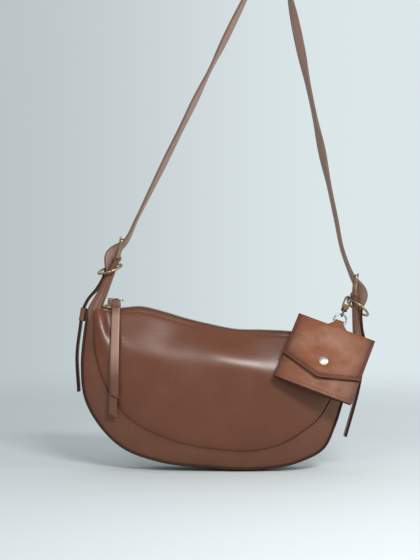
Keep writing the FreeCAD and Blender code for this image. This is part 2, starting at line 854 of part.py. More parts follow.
def d_ring():
    r = d_ring_half
    middle = d_ring_top + r
    corner = d_ring_corner
    bar = d_ring_bar
    sweep = math.sqrt(0.5) * corner
    edges = [line(at(-r + corner, bar), at(r - corner, bar)),
             Part.Arc(at(r - corner, bar), at(r - corner + sweep, bar - corner + sweep), at(r, bar - corner)).toShape(),
             line(at(r, bar - corner), at(r, middle)),
             Part.Arc(at(r, middle), at(0, d_ring_top), at(-r, middle)).toShape(),
             line(at(-r, middle), at(-r, bar - corner)),
             Part.Arc(at(-r, bar - corner), at(-r + corner - sweep, bar - corner + sweep),
                      at(-r + corner, bar)).toShape()]
    profile = Part.Wire(Part.Circle(at(-r + corner, bar), Vector(1, 0, 0), d_ring_wire_radius).toShape())
    return swept(edges, profile)


# Layers of the pouch, from the tab behind it and its back face at back_n to the flap at the front
tab_hole = d_ring_wire_radius + running_gap
tab_outer = tab_hole + pouch_tab_leather
back_n = tab_outer + seam_gap
welt_n = back_n + pouch_leather
pocket_n = welt_n + pouch_gap
pocket_front_n = pocket_n + pouch_leather
flap_n = pocket_front_n + flap_gap
flap_front_n = flap_n + pouch_leather
flap_hinge = (back_n + pouch_leather / 2, pouch_top - seam_gap - pouch_leather / 2)


def rounded_plate(u_half, v0, v1, corner, n0, n1):
    """A plate with square top corners and rounded bottom corners."""
    block = box(-u_half, u_half, v0, v1, -n1, -n0)
    feet = [e for e in block.Edges if abs(e.Vertexes[0].Z + v1) < fit_gap and abs(e.Vertexes[1].Z + v1) < fit_gap
            and abs(e.Vertexes[0].Y - e.Vertexes[1].Y) > fit_gap]
    return block.makeFillet(corner, feet)


def pouch_back():
    return rounded_plate(pouch_width / 2, pouch_top, pouch_top + pouch_height, pouch_corner, back_n, welt_n)


def pouch_welt():
    """A narrow strip that keeps the pocket's two walls apart along three sides."""
    half = pouch_width / 2
    top, bottom = pouch_top + pocket_drop, pouch_top + pouch_height
    outer = rounded_plate(half, top, bottom, pouch_corner, welt_n, pocket_n)
    room = box(-half + welt_width, half - welt_width, top - cut_overrun, bottom - welt_width,
               -pocket_n - cut_overrun, -welt_n + cut_overrun)
    return outer.cut(room)


def pouch_pocket():
    return rounded_plate(pouch_width / 2, pouch_top + pocket_drop, pouch_top + pouch_height, pouch_corner,
                         pocket_n, pocket_front_n)


def pouch_flap():
    """The envelope flap: a strip over the top edge and a pointed front."""
    half = pouch_width / 2
    side, point = pouch_top + flap_side, pouch_top + flap_point
    top = pouch_top - pouch_leather - seam_gap
    front = plate([(-half, top), (half, top), (half, side), (0, point), (-half, side)], flap_n, flap_front_n)
    tip = [e for e in front.Edges if abs(e.Vertexes[0].X) < fit_gap and abs(e.Vertexes[1].X) < fit_gap
           and abs(e.Vertexes[0].Z + point) < fit_gap]
    front = front.makeFillet(flap_tip_radius, tip)
    over = box(-half, half, top, top + pouch_leather, -flap_front_n, -back_n)
    whole = fused([front, over])
    long_edges = [e for e in whole.Edges if e.Length > pouch_width - fit_gap]
    crease = [e for e in long_edges if abs(e.Vertexes[0].Z + top) < fit_gap
              and abs(e.Vertexes[0].Y + flap_front_n) < fit_gap]
    fold = [e for e in long_edges if abs(e.Vertexes[0].Y + back_n) < fit_gap]
    return whole.makeFillet(pouch_leather, crease).makeFillet(flap_fold_radius, fold)


def pouch_tab():
    """A tapered tab folded round the D ring's bar and sewn behind the pouch."""
    lap = pouch_top + pouch_tab_lap
    along = Vector(1, 0, 0)
    wide = pouch_tab_base
    start = at(-wide / 2, d_ring_bar)
    loop = Part.makeCylinder(tab_outer, wide, start, along)
    leg = box(-wide / 2, wide / 2, d_ring_bar, lap, -tab_outer, -tab_hole)
    body = fused([loop, leg])
    body = body.cut(Part.makeCylinder(tab_hole, wide + 2 * cut_overrun, start - along * cut_overrun, along))
    top_half, base_half = pouch_tab_top / 2, pouch_tab_base / 2
    reach = tab_outer + cut_overrun
    flare = d_ring_bar + d_ring_wire_radius + seam_gap
    shoulder = pouch_top - pouch_tab_shoulder
    shape = [(-top_half, d_ring_bar - tab_outer), (top_half, d_ring_bar - tab_outer), (top_half, flare),
             (base_half, shoulder), (base_half, lap), (-base_half, lap), (-base_half, shoulder), (-top_half, flare)]
    return body.common(plate(shape, -reach, reach))


def snap_cap():
    base = at(0, pouch_top + snap_drop, -flap_front_n - fit_gap)
    sphere_radius = (snap_cap_radius ** 2 + snap_cap_rise ** 2) / (2 * snap_cap_rise)
    ball = Part.makeSphere(sphere_radius, base + Y_AXIS * (sphere_radius - snap_cap_rise))
    return ball.common(Part.makeCylinder(snap_cap_radius, snap_cap_rise * 2, base, -Y_AXIS))


def snap_socket():
    base = at(0, pouch_top + snap_drop, -flap_n)
    thick = flap_gap - seam_gap
    ring = Part.makeCylinder(snap_socket_radius, thick, base, Y_AXIS)
    return ring.cut(Part.makeCylinder(snap_stud_radius + running_gap, thick, base, Y_AXIS))


def snap_stud():
    base = at(0, pouch_top + snap_drop, -pocket_front_n)
    return Part.makeCylinder(snap_stud_radius, snap_stud_rise, base, -Y_AXIS)


# Places of the two frames in the hanging part
bag_place = Placement(Vector(0, 0, 0), Rotation(Y_AXIS, hang_tilt)).multiply(
    Placement(at(*hang_point) * -1, Rotation()))
hook_place = bag_place.multVec(at(*right.ring_inner_end))
pull_place = bag_place.multiply(Placement(at(0, 0), Rotation(Y_AXIS, -hang_tilt), at(*pull_pivot)))
pouch_place = Placement(hook_place, Rotation(Vector(1, 0, 0), -pouch_lean).multiply(Rotation(Y_AXIS, pouch_turn)))


def main():
    os.makedirs("parts", exist_ok=True)
    bag = {
        "front_upper_panel": panel(FRONT),
        "front_crescent_band": band(FRONT),
        "back_upper_panel": panel(BACK),
        "back_crescent_band": band(BACK),
        "gusset": gusset(),
        "front_piping": piping(FRONT),
        "back_piping": piping(BACK),
        "lining": lining(),
        "zip_tape_front": tape(FRONT),
        "zip_tape_back": tape(BACK),
        "zip_teeth_front": teeth(FRONT),
        "zip_teeth_back": teeth(BACK),
        "zip_stops": zip_stops(),
        "zip_slider": slider(),
        "shoulder_strap": strap(),
    }
    pull = {
        "pull_ring": pull_ring(),
        "pull_thong": thong(),
        "pull_collar": thong_collar(),
    }
    for name, side in (("left", left), ("right", right)):
        bag[name + "_tab"] = tab(side)
        bag[name + "_buckle_frame"] = buckle_frame(side)
        bag[name + "_buckle_prong"] = prong(side)
        bag[name + "_keeper_ring"] = keeper_ring(side)
        bag[name + "_leather_keeper"] = leather_keeper(side)
    pouch = {
        "clasp_hook": clasp_hook(),
        "clasp_gate": clasp_gate(),
        "clasp_gate_pin": clasp_gate_pin(),
        "clasp_swivel_eye": swivel_eye(),
        "pouch_d_ring": d_ring(),
        "pouch_tab": pouch_tab(),
        "pouch_back_panel": pouch_back(),
        "pouch_welt": pouch_welt(),
        "pouch_front_pocket": pouch_pocket(),
        "pouch_flap": pouch_flap(),
        "snap_cap": snap_cap(),
        "snap_socket": snap_socket(),
        "snap_stud": snap_stud(),
    }
    for pieces, place in ((bag, bag_place), (pull, pull_place), (pouch, pouch_place)):
        for name, shape in pieces.items():
            shape.Placement = place.multiply(shape.Placement)
            shape.exportStep("parts/" + name + ".step")
            print(name, len(shape.Solids), round(shape.Volume, 1), shape.isValid())


main()
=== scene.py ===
# %% [markdown]
# # A half moon shoulder bag
# The bag hangs by its strap, tilted, with a small card pouch clipped to one of its rings. Its metal
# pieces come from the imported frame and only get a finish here. The frame's solids could be shown for the
# leather too, but leather never lies as flat as a drawn solid. So every leather and cloth piece is made
# again as a thin, slightly uneven skin.

# %% Load the frame
import math

import bpy
from mathutils import Matrix, Vector


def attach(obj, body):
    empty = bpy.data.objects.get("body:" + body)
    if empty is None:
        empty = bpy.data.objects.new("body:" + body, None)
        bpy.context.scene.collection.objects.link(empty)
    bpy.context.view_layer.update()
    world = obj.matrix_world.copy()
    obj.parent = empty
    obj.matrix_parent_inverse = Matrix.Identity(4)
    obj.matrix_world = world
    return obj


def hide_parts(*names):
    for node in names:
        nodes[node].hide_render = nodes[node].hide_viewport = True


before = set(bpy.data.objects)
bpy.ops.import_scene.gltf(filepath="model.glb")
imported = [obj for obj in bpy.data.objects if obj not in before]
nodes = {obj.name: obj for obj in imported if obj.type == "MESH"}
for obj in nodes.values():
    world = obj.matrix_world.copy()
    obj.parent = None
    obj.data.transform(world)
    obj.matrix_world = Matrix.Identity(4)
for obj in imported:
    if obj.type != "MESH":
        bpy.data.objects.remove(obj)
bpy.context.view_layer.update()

# %% [markdown]
# ## Camera
# The photograph looks straight at the bag from its front, so the camera is level. Its distance and lens
# could be tried by eye. Here both follow from one scale, a view 0.7 m tall, so that every piece lands
# where it was measured.

# %% Camera
MM = 0.001
VIEW_TALL, VIEW_FAR, SENSOR = 0.7, 1.45, 36.0
VIEW_X, VIEW_Z = -0.0806, -0.4075
bpy.ops.object.camera_add(location=(VIEW_X, -VIEW_FAR, VIEW_Z), rotation=(math.pi / 2, 0, 0))
camera = bpy.context.active_object
camera.data.sensor_width = SENSOR
camera.data.lens = SENSOR * VIEW_FAR / VIEW_TALL
bpy.context.scene.camera = camera
print("lens:", round(camera.data.lens, 1))

# %% [markdown]
# ## Lamps
# A studio's soft boxes draw the long highlight below the zip. A small lamp would give a hard spot, and
# the light of the walls alone would give none. So a long flat lamp stands in front, above and to the
# right, a weaker one does the same on the left, and a large one lights the right side.

# %% Lamps


def soft_lamp(name, place, aim, wide, tall, watts):
    """A flat lamp at place that looks at aim."""
    bpy.ops.object.light_add(type="AREA", location=place)
    lamp = bpy.context.active_object
    lamp.name = name
    lamp.rotation_euler = (Vector(aim) - Vector(place)).to_track_quat("-Z", "Y").to_euler()
    lamp.data.shape = "RECTANGLE"
    lamp.data.size = wide
    lamp.data.size_y = tall
    lamp.data.energy = watts
    return lamp


BAG_MIDDLE = (-0.08, 0, -0.52)
soft_lamp("key_lamp", (0.34, -1.35, 0.36), BAG_MIDDLE, 0.5, 0.17, 20)
soft_lamp("side_lamp", (1.1, -0.35, -0.1), BAG_MIDDLE, 0.8, 0.8, 5)
soft_lamp("fill_lamp", (-0.62, -1.5, 0.2), BAG_MIDDLE, 0.4, 0.16, 4)
bpy.context.scene.view_settings.view_transform = "Standard"

# %% [markdown]
# ## Writing materials as sums
# A material is a net of nodes. Each node could be added and linked by hand, but then one sum takes many
# lines. Here a small class wraps a socket, so that values are added and multiplied as in Python, and one
# method makes every other node from its type, settings and inputs.

# %% A socket that can be used in sums


class Wire:
    """A node's socket, or the empty start of a node tree."""

    def __init__(self, tree, socket=None):
        self.tree = tree
        self.socket = socket

    def node(self, kind, inputs, settings=None, output=0):
        """A new node of any kind: its settings first, then the values or wires of its sockets."""
        new = self.tree.nodes.new(kind)
        for name, value in (settings or {}).items():
            setattr(new, name, value)
        for key, value in inputs.items():
            if isinstance(value, Wire):
                self.tree.links.new(value.socket, new.inputs[key])
            else:
                new.inputs[key].default_value = value
        return Wire(self.tree, new.outputs[output])

    def maths(self, operation, first, second):
        return self.node("ShaderNodeMath", {0: first, 1: second}, {"operation": operation})

    def __add__(self, other):
        return self.maths("ADD", self, other)

    def __radd__(self, other):
        return self.maths("ADD", other, self)

    def __sub__(self, other):
        return self.maths("SUBTRACT", self, other)

    def __rsub__(self, other):
        return self.maths("SUBTRACT", other, self)

    def __mul__(self, other):
        return self.maths("MULTIPLY", self, other)

    def __rmul__(self, other):
        return self.maths("MULTIPLY", other, self)


print("sockets can be added, subtracted and multiplied")

# %% What most materials share
SOFT_STEP = {"interpolation_type": "SMOOTHSTEP"}
SOFT_CELLS = {"feature": "SMOOTH_F1"}
OBJECT_PLACE, UV_PLACE = 3, 2


def new_material(name):
    """An empty material and the wire that starts its nodes."""
    material = bpy.data.materials.new(name)
    material.use_nodes = True
    material.node_tree.nodes.clear()
    return material, Wire(material.node_tree)


def surface(start, inputs):
    """Closes a material with one Principled surface."""
    shader = start.node("ShaderNodeBsdfPrincipled", inputs)
    end = start.tree.nodes.new("ShaderNodeOutputMaterial")
    start.tree.links.new(shader.socket, end.inputs["Surface"])


def coords(start, output=OBJECT_PLACE):
    return start.node("ShaderNodeTexCoord", {}, output=output)


def part(start, vector, axis):
    """One of a vector's three values."""
    return start.node("ShaderNodeSeparateXYZ", {"Vector": vector}, output=axis)


def noise(start, place, scale, detail, rough=0.5):
    inputs = {"Vector": place, "Scale": scale, "Detail": detail, "Roughness": rough}
    return start.node("ShaderNodeTexNoise", inputs)


def cells(start, place, scale):
    return start.node("ShaderNodeTexVoronoi", {"Vector": place, "Scale": scale}, SOFT_CELLS)


def spread(start, value, low, high, settings=None):
    """A value as a share of the way from low to high, kept between 0 and 1."""
    return start.node("ShaderNodeMapRange", {"Value": value, "From Min": low, "From Max": high}, settings)


def relief(start, height, strength, deep):
    return start.node("ShaderNodeBump", {"Height": height, "Strength": strength, "Distance": deep})


def mix(start, share, first, second):
    return start.node("ShaderNodeMix", {0: share, 6: first, 7: second}, {"data_type": "RGBA"}, 2)


def colour(r, g, b):
    return (r, g, b, 1.0)


print("helpers for materials: coords, part, noise, cells, spread, relief, mix")

# %% [markdown]
# ## Leather
# The hide is close to smooth, with pores about a millimetre apart, faint clouds of darker dye and a soft
# shine. A picture of leather could be wrapped round each piece, but it would stretch and break at the
# seams. Noise and cells on a piece's own coordinates have neither fault, and one function gives every
# brown of the bag.

# %% Leather
HIDE_IOR, PORE_DEEP = 1.48, 0.0004


def leather(name, deep, pale, shine, pore_size, cloud_size=0.05, grain_relief=0.35, gloss=0.3, painted_light=None):
    """A dyed hide: clouds of two browns, fine pores and a shine that varies with both. Given four heights, it
    also gets a band of painted light: a painted highlight between the two middle heights and painted shade
    beyond the two outer ones."""
    material, start = new_material(name)
    place = coords(start)
    clouds = noise(start, place, 1 / cloud_size, 5.0, 0.6)
    pores = cells(start, place, 1 / pore_size)
    grain = noise(start, place, 2.5 / pore_size, 3.0)
    streaks = noise(start, place, 0.2 / cloud_size, 2.0)
    dye_and_painted_light = clouds * 0.7 + pores * 0.22 + streaks * 0.25 - 0.1
    # Painted light by height: paler between the middle heights as a painted highlight, darker beyond the
    # outer ones as painted shade.
    if painted_light:
        up = part(start, place, 2)
        dye_and_painted_light = dye_and_painted_light + spread(start, up, painted_light[0], painted_light[1]) * spread(start, up, painted_light[3], painted_light[2]) - 0.5
    surface(start, {"Base Color": mix(start, dye_and_painted_light, deep, pale),
                    "Roughness": shine + (clouds - 0.5) * 0.16 + grain * 0.06,
                    "Normal": relief(start, grain * 0.45 - pores * 0.9, grain_relief, PORE_DEEP),
                    "IOR": HIDE_IOR, "Specular IOR Level": gloss})
    return material


bag_leather = leather("bag_leather", colour(0.074, 0.021, 0.0075), colour(0.15, 0.047, 0.0195), 0.3, 0.0011,
                      grain_relief=0.18, gloss=0.48)
band_leather = leather("band_leather", colour(0.08, 0.029, 0.016), colour(0.165, 0.067, 0.04), 0.36, 0.0011,
                       grain_relief=0.18)
strap_leather = leather("strap_leather", colour(0.18, 0.107, 0.083), colour(0.36, 0.228, 0.183), 0.42, 0.0010,
                        grain_relief=0.16)
# The thong gets a painted highlight on its upper middle and painted shade on its fold and lower tails.
thong_leather = leather("thong_leather", colour(0.105, 0.046, 0.028), colour(0.26, 0.15, 0.112), 0.38, 0.0010,
                        grain_relief=0.16, painted_light=(-0.525, -0.498, -0.453, -0.44))
# The tabs' leather is a paler copy of the band's leather: painted light, because the tabs look lighter where
# they are lit.
lit_tab_leather = leather("lit_tab_leather", colour(0.08, 0.031, 0.018), colour(0.205, 0.1, 0.068), 0.36, 0.0011,
                      grain_relief=0.16)
piping_leather = leather("piping_leather", colour(0.02, 0.008, 0.005), colour(0.048, 0.02, 0.012), 0.55,
                         0.0011, gloss=0.15)
print("hides:", [m.name for m in bpy.data.materials if "leather" in m.name])

# %% Cut and painted edges
edge_paint = leather("edge_paint", colour(0.022, 0.009, 0.006), colour(0.05, 0.02, 0.012), 0.75, 0.0012,
                     cloud_size=0.02, grain_relief=0.5, gloss=0.1)
# The band's cut edge is dark, and darkened further as painted shade for the shadow line along the seam.
shaded_cut_edge = leather("shaded_cut_edge", colour(0.04, 0.017, 0.011), colour(0.085, 0.038, 0.024), 0.7, 0.0009,
                   cloud_size=0.02, gloss=0.1)
# A lighter tone of the strap's painted edge, used along its runs; the darker edge on its hanging ends is
# painted shade.
strap_edge = leather("strap_edge", colour(0.1, 0.058, 0.044), colour(0.21, 0.13, 0.102), 0.6, 0.0009,
                     cloud_size=0.02, gloss=0.2)
raw_edge = leather("raw_edge", colour(0.3, 0.17, 0.115), colour(0.46, 0.3, 0.22), 0.7, 0.0009,
                   cloud_size=0.01, grain_relief=0.6)
print("edges:", [m.name for m in (edge_paint, shaded_cut_edge, strap_edge, raw_edge)])

# %% [markdown]
# ## The pouch's waxed hide
# The pouch is redder: wax darkens its edges, and a pale, patchy painted sheen lies on its middle. Such edges
# could be painted on each mesh by hand. Here a piece's own UV square says how near an edge is, so that the
# burnt rim follows any layer.

# %% Waxed hide of the pouch


def waxed_hide(name, burnt, middle, painted_light):
    """A hide that is dark and red along its edges, by the piece's own UV square, with patches of pale painted
    sheen inside.
    """
    material, start = new_material(name)
    place, flat = coords(start), coords(start, UV_PLACE)
    u, v = part(start, flat, 0) * 2 - 1, part(start, flat, 1) * 2 - 1
    clouds = noise(start, place, 42.0, 5.0, 0.65)
    patches = noise(start, place, 18.0, 2.0)
    grain = noise(start, place, 2600.0, 3.0)
    pores = cells(start, place, 1250.0)
    u, v = u * u, v * v
    inside = (1 - u * u) * (1 - v * v * v)
    tint = mix(start, inside * 0.85 + clouds * 0.6 - 0.35, burnt, middle)
    # Patches of painted sheen: inside the burnt rim, a pale greyish colour stands in for the lamps' soft
    # reflection.
    sheen_patch = spread(start, patches * 0.7 + clouds * 0.45, 0.5, 0.8)
    surface(start, {"Base Color": mix(start, sheen_patch * inside * 0.75, tint, painted_light),
                    "Roughness": 0.5 - clouds * 0.2,
                    "Normal": relief(start, grain * 0.5 - pores, 0.3, PORE_DEEP),
                    "IOR": HIDE_IOR, "Specular IOR Level": 0.14})
    return material


# The third colour is the pouch's pale painted sheen.
pouch_leather = waxed_hide("pouch_leather", colour(0.075, 0.017, 0.006), colour(0.215, 0.07, 0.029),
                           colour(0.3, 0.18, 0.13))
print("pouch:", pouch_leather.name)

# %% [markdown]
# ## Cloth, thread and metal
# Tapes and lining are plain weaves, the fittings are plated with pale gold, and the snap is nickel.
# Threads could be modelled one by one, but at this size two crossed waves read the same. The metal is
# cloudy and finely rubbed, because an even, clean mirror looks like plastic.

# %% Cloth, thread and metal


def cloth(name, dark, light, thread):
    """A plain weave: two crossed waves of threads."""
    material, start = new_material(name)
    place = coords(start)
    waves = {"Vector": place, "Scale": 0.32 / thread, "Distortion": 0.6}
    weave = start.node("ShaderNodeTexWave", waves, {"bands_direction": "X"}) \
        * start.node("ShaderNodeTexWave", waves, {"bands_direction": "Z"})
    fuzz = noise(start, place, 90.0, 4.0)
    surface(start, {"Base Color": mix(start, weave * 0.6 + fuzz * 0.4, dark, light),
                    "Roughness": 0.85 - weave * 0.15, "Sheen Weight": 0.2,
                    "Normal": relief(start, weave, 0.5, thread / 2)})
    return material


def metal(name, deep, pale, shine):
    """Plated metal: cloudy colour, fine rubbing marks and darker tarnish in patches."""
    material, start = new_material(name)
    place = coords(start)
    clouds = noise(start, place, 160.0, 4.0)
    rubs = noise(start, place, 1400.0, 2.0)
    surface(start, {"Base Color": mix(start, clouds * 1.3 - 0.1, deep, pale), "Metallic": 1.0,
                    "Roughness": shine + clouds * 0.12 + rubs * 0.06,
                    "Normal": relief(start, rubs, 0.08, 0.0001)})
    return material


tape_cloth = cloth("tape_cloth", colour(0.035, 0.015, 0.01), colour(0.085, 0.042, 0.028), 0.0006)
lining_cloth = cloth("lining_cloth", colour(0.11, 0.07, 0.05), colour(0.22, 0.16, 0.12), 0.0007)
dark_thread = cloth("dark_thread", colour(0.006, 0.003, 0.002), colour(0.02, 0.009, 0.006), 0.0004)
brown_thread = cloth("brown_thread", colour(0.06, 0.024, 0.014), colour(0.14, 0.062, 0.04), 0.0004)
pale_gold = metal("pale_gold", colour(0.2, 0.135, 0.065), colour(0.5, 0.375, 0.22), 0.15)
worn_gold = metal("worn_gold", colour(0.06, 0.04, 0.02), colour(0.2, 0.142, 0.08), 0.46)
zip_brass = metal("zip_brass", colour(0.16, 0.105, 0.06), colour(0.42, 0.31, 0.19), 0.3)
nickel = metal("nickel", colour(0.1, 0.097, 0.095), colour(0.42, 0.415, 0.4), 0.2)
bright_cap = metal("bright_cap", colour(0.6, 0.54, 0.46), colour(0.88, 0.83, 0.75), 0.26)
print("finishes:", len(bpy.data.materials))

# %% [markdown]
# ## Floor and walls
# The bag hangs just above pale paper. A sheet that bends up behind it could be modelled, but it would
# hide the bag from behind. So only a round floor is a mesh, which fades out towards its rim, and the
# walls are light from far away.

# %% Floor
FLOOR, FLOOR_RADIUS = -0.6435, 1.8
FLOOR_MIDDLE = (-0.08, 0, FLOOR)
bpy.ops.object.select_all(action="DESELECT")
bpy.ops.mesh.primitive_circle_add(vertices=96, radius=FLOOR_RADIUS, fill_type="TRIFAN", location=FLOOR_MIDDLE)
bpy.ops.object.transform_apply(location=True)
floor = bpy.context.active_object
floor.name = "paper_floor"
paper, start = new_material("pale_paper")
place = coords(start)
away = start.node("ShaderNodeVectorMath", {0: place, 1: FLOOR_MIDDLE}, {"operation": "DISTANCE"}, 1)
# The paper is painted darker and greyer towards the left, as painted shade, because the light comes from the
# right.
fade = spread(start, part(start, place, 0), -0.6, 0.35)
fibre = noise(start, place, 3.0, 3.0)
tint = mix(start, fade * 0.9 + fibre * 0.1, colour(0.53, 0.575, 0.585), colour(0.66, 0.70, 0.705))
surface(start, {"Base Color": tint, "Roughness": 0.9, "Alpha": spread(start, away, 1.7, 0.1, SOFT_STEP)})
floor.data.materials.append(paper)
print("floor at", FLOOR)

# %% Studio walls, as light from far away
world = bpy.data.worlds.new("studio")
bpy.context.scene.world = world
world.use_nodes = True
world.node_tree.nodes.clear()
start = Wire(world.node_tree)
way = coords(start, 0)
fade = spread(start, part(start, way, 0), -0.2, 0.14, SOFT_STEP)
back_wall = mix(start, fade, colour(0.50, 0.555, 0.565), colour(0.72, 0.80, 0.825))
behind = spread(start, part(start, way, 1), -0.2, 0.6, SOFT_STEP)
walls = mix(start, behind, colour(0.47, 0.49, 0.5), back_wall)
light = start.node("ShaderNodeBackground", {"Color": walls, "Strength": 1.0})
start.tree.links.new(light.socket, start.tree.nodes.new("ShaderNodeOutputWorld").inputs["Surface"])
print("world:", world.name)

# %% [markdown]
# ## The bag's own frame
# The bag is measured along its zip (s), down from its top edge (h) and front to back (y), in millimetres.
# Places could be given in the world's frame, but then each number would hold the tilt. One function tilts
# the frame as the bag hangs, and a smooth line through a few knots draws every curve.

# %% Places on the hanging bag
TILT = math.radians(7.7)
HANG_S, HANG_H = 146.9, 466.4


def hung(s, h, y):
    """A place of the bag's own frame, in metres where it hangs."""
    x, z = s - HANG_S, -h - HANG_H
    return Vector((x * math.cos(TILT) + z * math.sin(TILT), y, z * math.cos(TILT) - x * math.sin(TILT))) * MM


def eased(a, da, b, db, t):
    """The place at t on a smooth piece from a to b, which leaves along da and arrives along db."""
    return a * (2 * t ** 3 - 3 * t ** 2 + 1) + da * (t ** 3 - 2 * t ** 2 + t) \
        + b * (3 * t ** 2 - 2 * t ** 3) + db * (t ** 3 - t ** 2)


def smooth_line(knots, share):
    """The point at a share of the way along a smooth line through the knots."""
    knots = [Vector(k) for k in knots]
    gaps = [max((b - a).length, 1e-6) for a, b in zip(knots, knots[1:])]
    goal = min(max(share, 0), 1) * sum(gaps)
    n = 0
    while n < len(gaps) - 1 and goal > gaps[n]:
        goal -= gaps[n]
        n += 1
    t = goal / gaps[n]

    def slope(i):
        if i == 0:
            return (knots[1] - knots[0]) / gaps[0]
        if i == len(knots) - 1:
            return (knots[-1] - knots[-2]) / gaps[-1]
        before, after = (knots[i] - knots[i - 1]) / gaps[i - 1], (knots[i + 1] - knots[i]) / gaps[i]
        return (before * gaps[i] + after * gaps[i - 1]) / (gaps[i] + gaps[i - 1])

    return eased(knots[n], slope(n) * gaps[n], knots[n + 1], slope(n + 1) * gaps[n], t)


def through(table, x):
    """A smooth curve through the (x, y) knots of a table."""
    ends = [table[0]] + table + [table[-1]]
    for before, a, b, after in zip(ends, ends[1:], ends[2:], ends[3:]):
        if a[0] <= x <= b[0]:
            gap = b[0] - a[0]
            da = (b[1] - before[1]) / (b[0] - before[0]) * gap
            db = (after[1] - a[1]) / (after[0] - a[0]) * gap
            return eased(a[1], da, b[1], db, (x - a[0]) / gap)


def hump(x, middle, width):
    """A soft bump of height 1."""
    return math.exp(-((x - middle) / width) ** 2)


print("hang point:", tuple(hung(HANG_S, -HANG_H, 0)))

# %% [markdown]
# ## Skins
# Leather is a sheet with a wall. A panel could be sculpted, or cut from a solid. Here a grid is added,
# its corners are moved to where a place function says, and modifiers give it the wall and round its rim.
# One way of working then makes every panel, strip and tube.

# %% Tools for skins


def deselect():
    """An operator acts on all that is selected, so each step starts from nothing."""
    if bpy.context.object and bpy.context.object.mode != "OBJECT":
        bpy.ops.object.mode_set(mode="OBJECT")
    bpy.ops.object.select_all(action="DESELECT")


def pick(piece):
    """Selects one piece and makes it the active one."""
    deselect()
    piece.select_set(True)
    bpy.context.view_layer.objects.active = piece


def skin(name, columns, rows, place, outward=None, weld=False, cap=False):
    """A grid whose corners are moved to place(u, v); welded, its last row closes on its first."""
    deselect()
    bpy.ops.mesh.primitive_grid_add(x_subdivisions=columns, y_subdivisions=rows, size=1)
    piece = bpy.context.active_object
    piece.name = name
    for vertex in piece.data.vertices:
        vertex.co = place(vertex.co.x + 0.5, vertex.co.y + 0.5)
    bpy.ops.object.mode_set(mode="EDIT")
    bpy.ops.mesh.select_all(action="SELECT")
    if weld:
        bpy.ops.mesh.remove_doubles(threshold=1e-6)
        if cap:
            bpy.ops.mesh.select_all(action="DESELECT")
            bpy.ops.mesh.select_non_manifold()
            bpy.ops.mesh.fill_holes(sides=0)
        bpy.ops.mesh.select_all(action="SELECT")
        bpy.ops.mesh.normals_make_consistent(inside=False)
    bpy.ops.object.mode_set(mode="OBJECT")
    if outward is not None:
        total = Vector((0, 0, 0))
        for face in piece.data.polygons:
            total += face.normal * face.area
        if total.dot(Vector(outward)) < 0:
            bpy.ops.object.mode_set(mode="EDIT")
            bpy.ops.mesh.flip_normals()
            bpy.ops.object.mode_set(mode="OBJECT")
    return piece


def apply(piece, kind, **settings):
    """Adds one modifier and applies it."""
    pick(piece)
    modifier = piece.modifiers.new(kind.lower(), kind)
    for name, value in settings.items():
        setattr(modifier, name, value)
    bpy.ops.object.modifier_apply(modifier=modifier.name)
    return piece


def thicken(piece, wall, round_edge=0.4):
    """Gives a skin its wall, inwards, with the second material on its rim, and rounds the rim."""
    apply(piece, "SOLIDIFY", thickness=wall * MM, offset=-1, material_offset_rim=1, use_rim=True)
    if round_edge:
        apply(piece, "BEVEL", width=round_edge * MM, segments=2, limit_method="ANGLE",
              angle_limit=math.radians(50))
    return piece


def joined(pieces, name):
    """Several objects as one."""
    deselect()
    for piece in pieces:
        piece.select_set(True)
    bpy.context.view_layer.objects.active = pieces[0]
    bpy.ops.object.join()
    piece = bpy.context.active_object
    piece.name = name
    return piece


def paint(piece, materials):
    """Fills a piece's material slots in order."""
    for material in materials:
        piece.data.materials.append(material)


def dress(piece, body, materials, replaces=(), angle=40):
    """Materials, smooth shading, the body that carries the piece and the nodes that it stands for."""
    if not piece.data.materials:
        paint(piece, materials)
    pick(piece)
    bpy.ops.object.shade_smooth_by_angle(angle=math.radians(angle))
    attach(piece, body)
    if replaces:
        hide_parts(*replaces)
    print(piece.name, len(piece.data.polygons), "faces")
    return piece


print("tools: skin, apply, thicken, joined, paint, dress")

# %% [markdown]
# ## The body's form
# The real body is two soft walls that swell from the zip and come back to the gusset. It could be blown
# up as cloth, which is hard to steer towards one photograph. Here it is a fan of sections from the zip
# out to the curved edge, and short tables say where each section bends and how the top edge sags.

# %% Outline and top edge
ZIP, DROP = 308.0, 175.5
EDGE = [(s * ZIP, h * DROP, 0) for s, h in (
    (-0.070, 0.006), (-0.071, 0.211), (-0.063, 0.425), (-0.030, 0.647), (0.033, 0.799),
    (0.136, 0.936), (0.292, 1.0), (0.481, 0.995), (0.666, 0.966), (0.849, 0.868),
    (0.930, 0.764), (0.962, 0.603), (0.981, 0.425), (1.002, 0.217), (1.031, -0.017))]
LEFT_LAP, RIGHT_LAP = 7.0, 2.0
WAVE = [(-40, 0), (-30, 0), (12, 0.2), (40, 5.8), (68, 3.4), (98, -1.3), (130, -4.6), (163, -6.3),
        (195, -2.8), (231, 0), (330, 0), (340, 0)]
RIM_REACH = 0.45


def wave(s):
    """How far the top edge stands above its straight line."""
    return through(WAVE, s)


def edge_at(u):
    """The place on the bag's lower edge, from the left corner at 0 to the right one at 1."""
    return smooth_line(EDGE, u)


def edge_normal(u, reach=0.004):
    along = edge_at(min(u + reach, 1)) - edge_at(max(u - reach, 0))
    return Vector((-along.y, along.x, 0)).normalized()


def top_at(u):
    """The place on the straight top line that belongs to the same u."""
    return Vector(((ZIP + LEFT_LAP + RIGHT_LAP) * u - LEFT_LAP, 0, 0))


def fan(u, share):
    """The flat place at a share of the way from the zip to the edge, and how far the wave lifts it."""
    flat = top_at(u) + (edge_at(u) - top_at(u)) * share
    return flat.x, flat.y, wave(flat.x) * max(1 - share / RIM_REACH, 0) ** 2


print("top edge stands off by", [round(wave(s), 1) for s in range(0, 301, 50)])

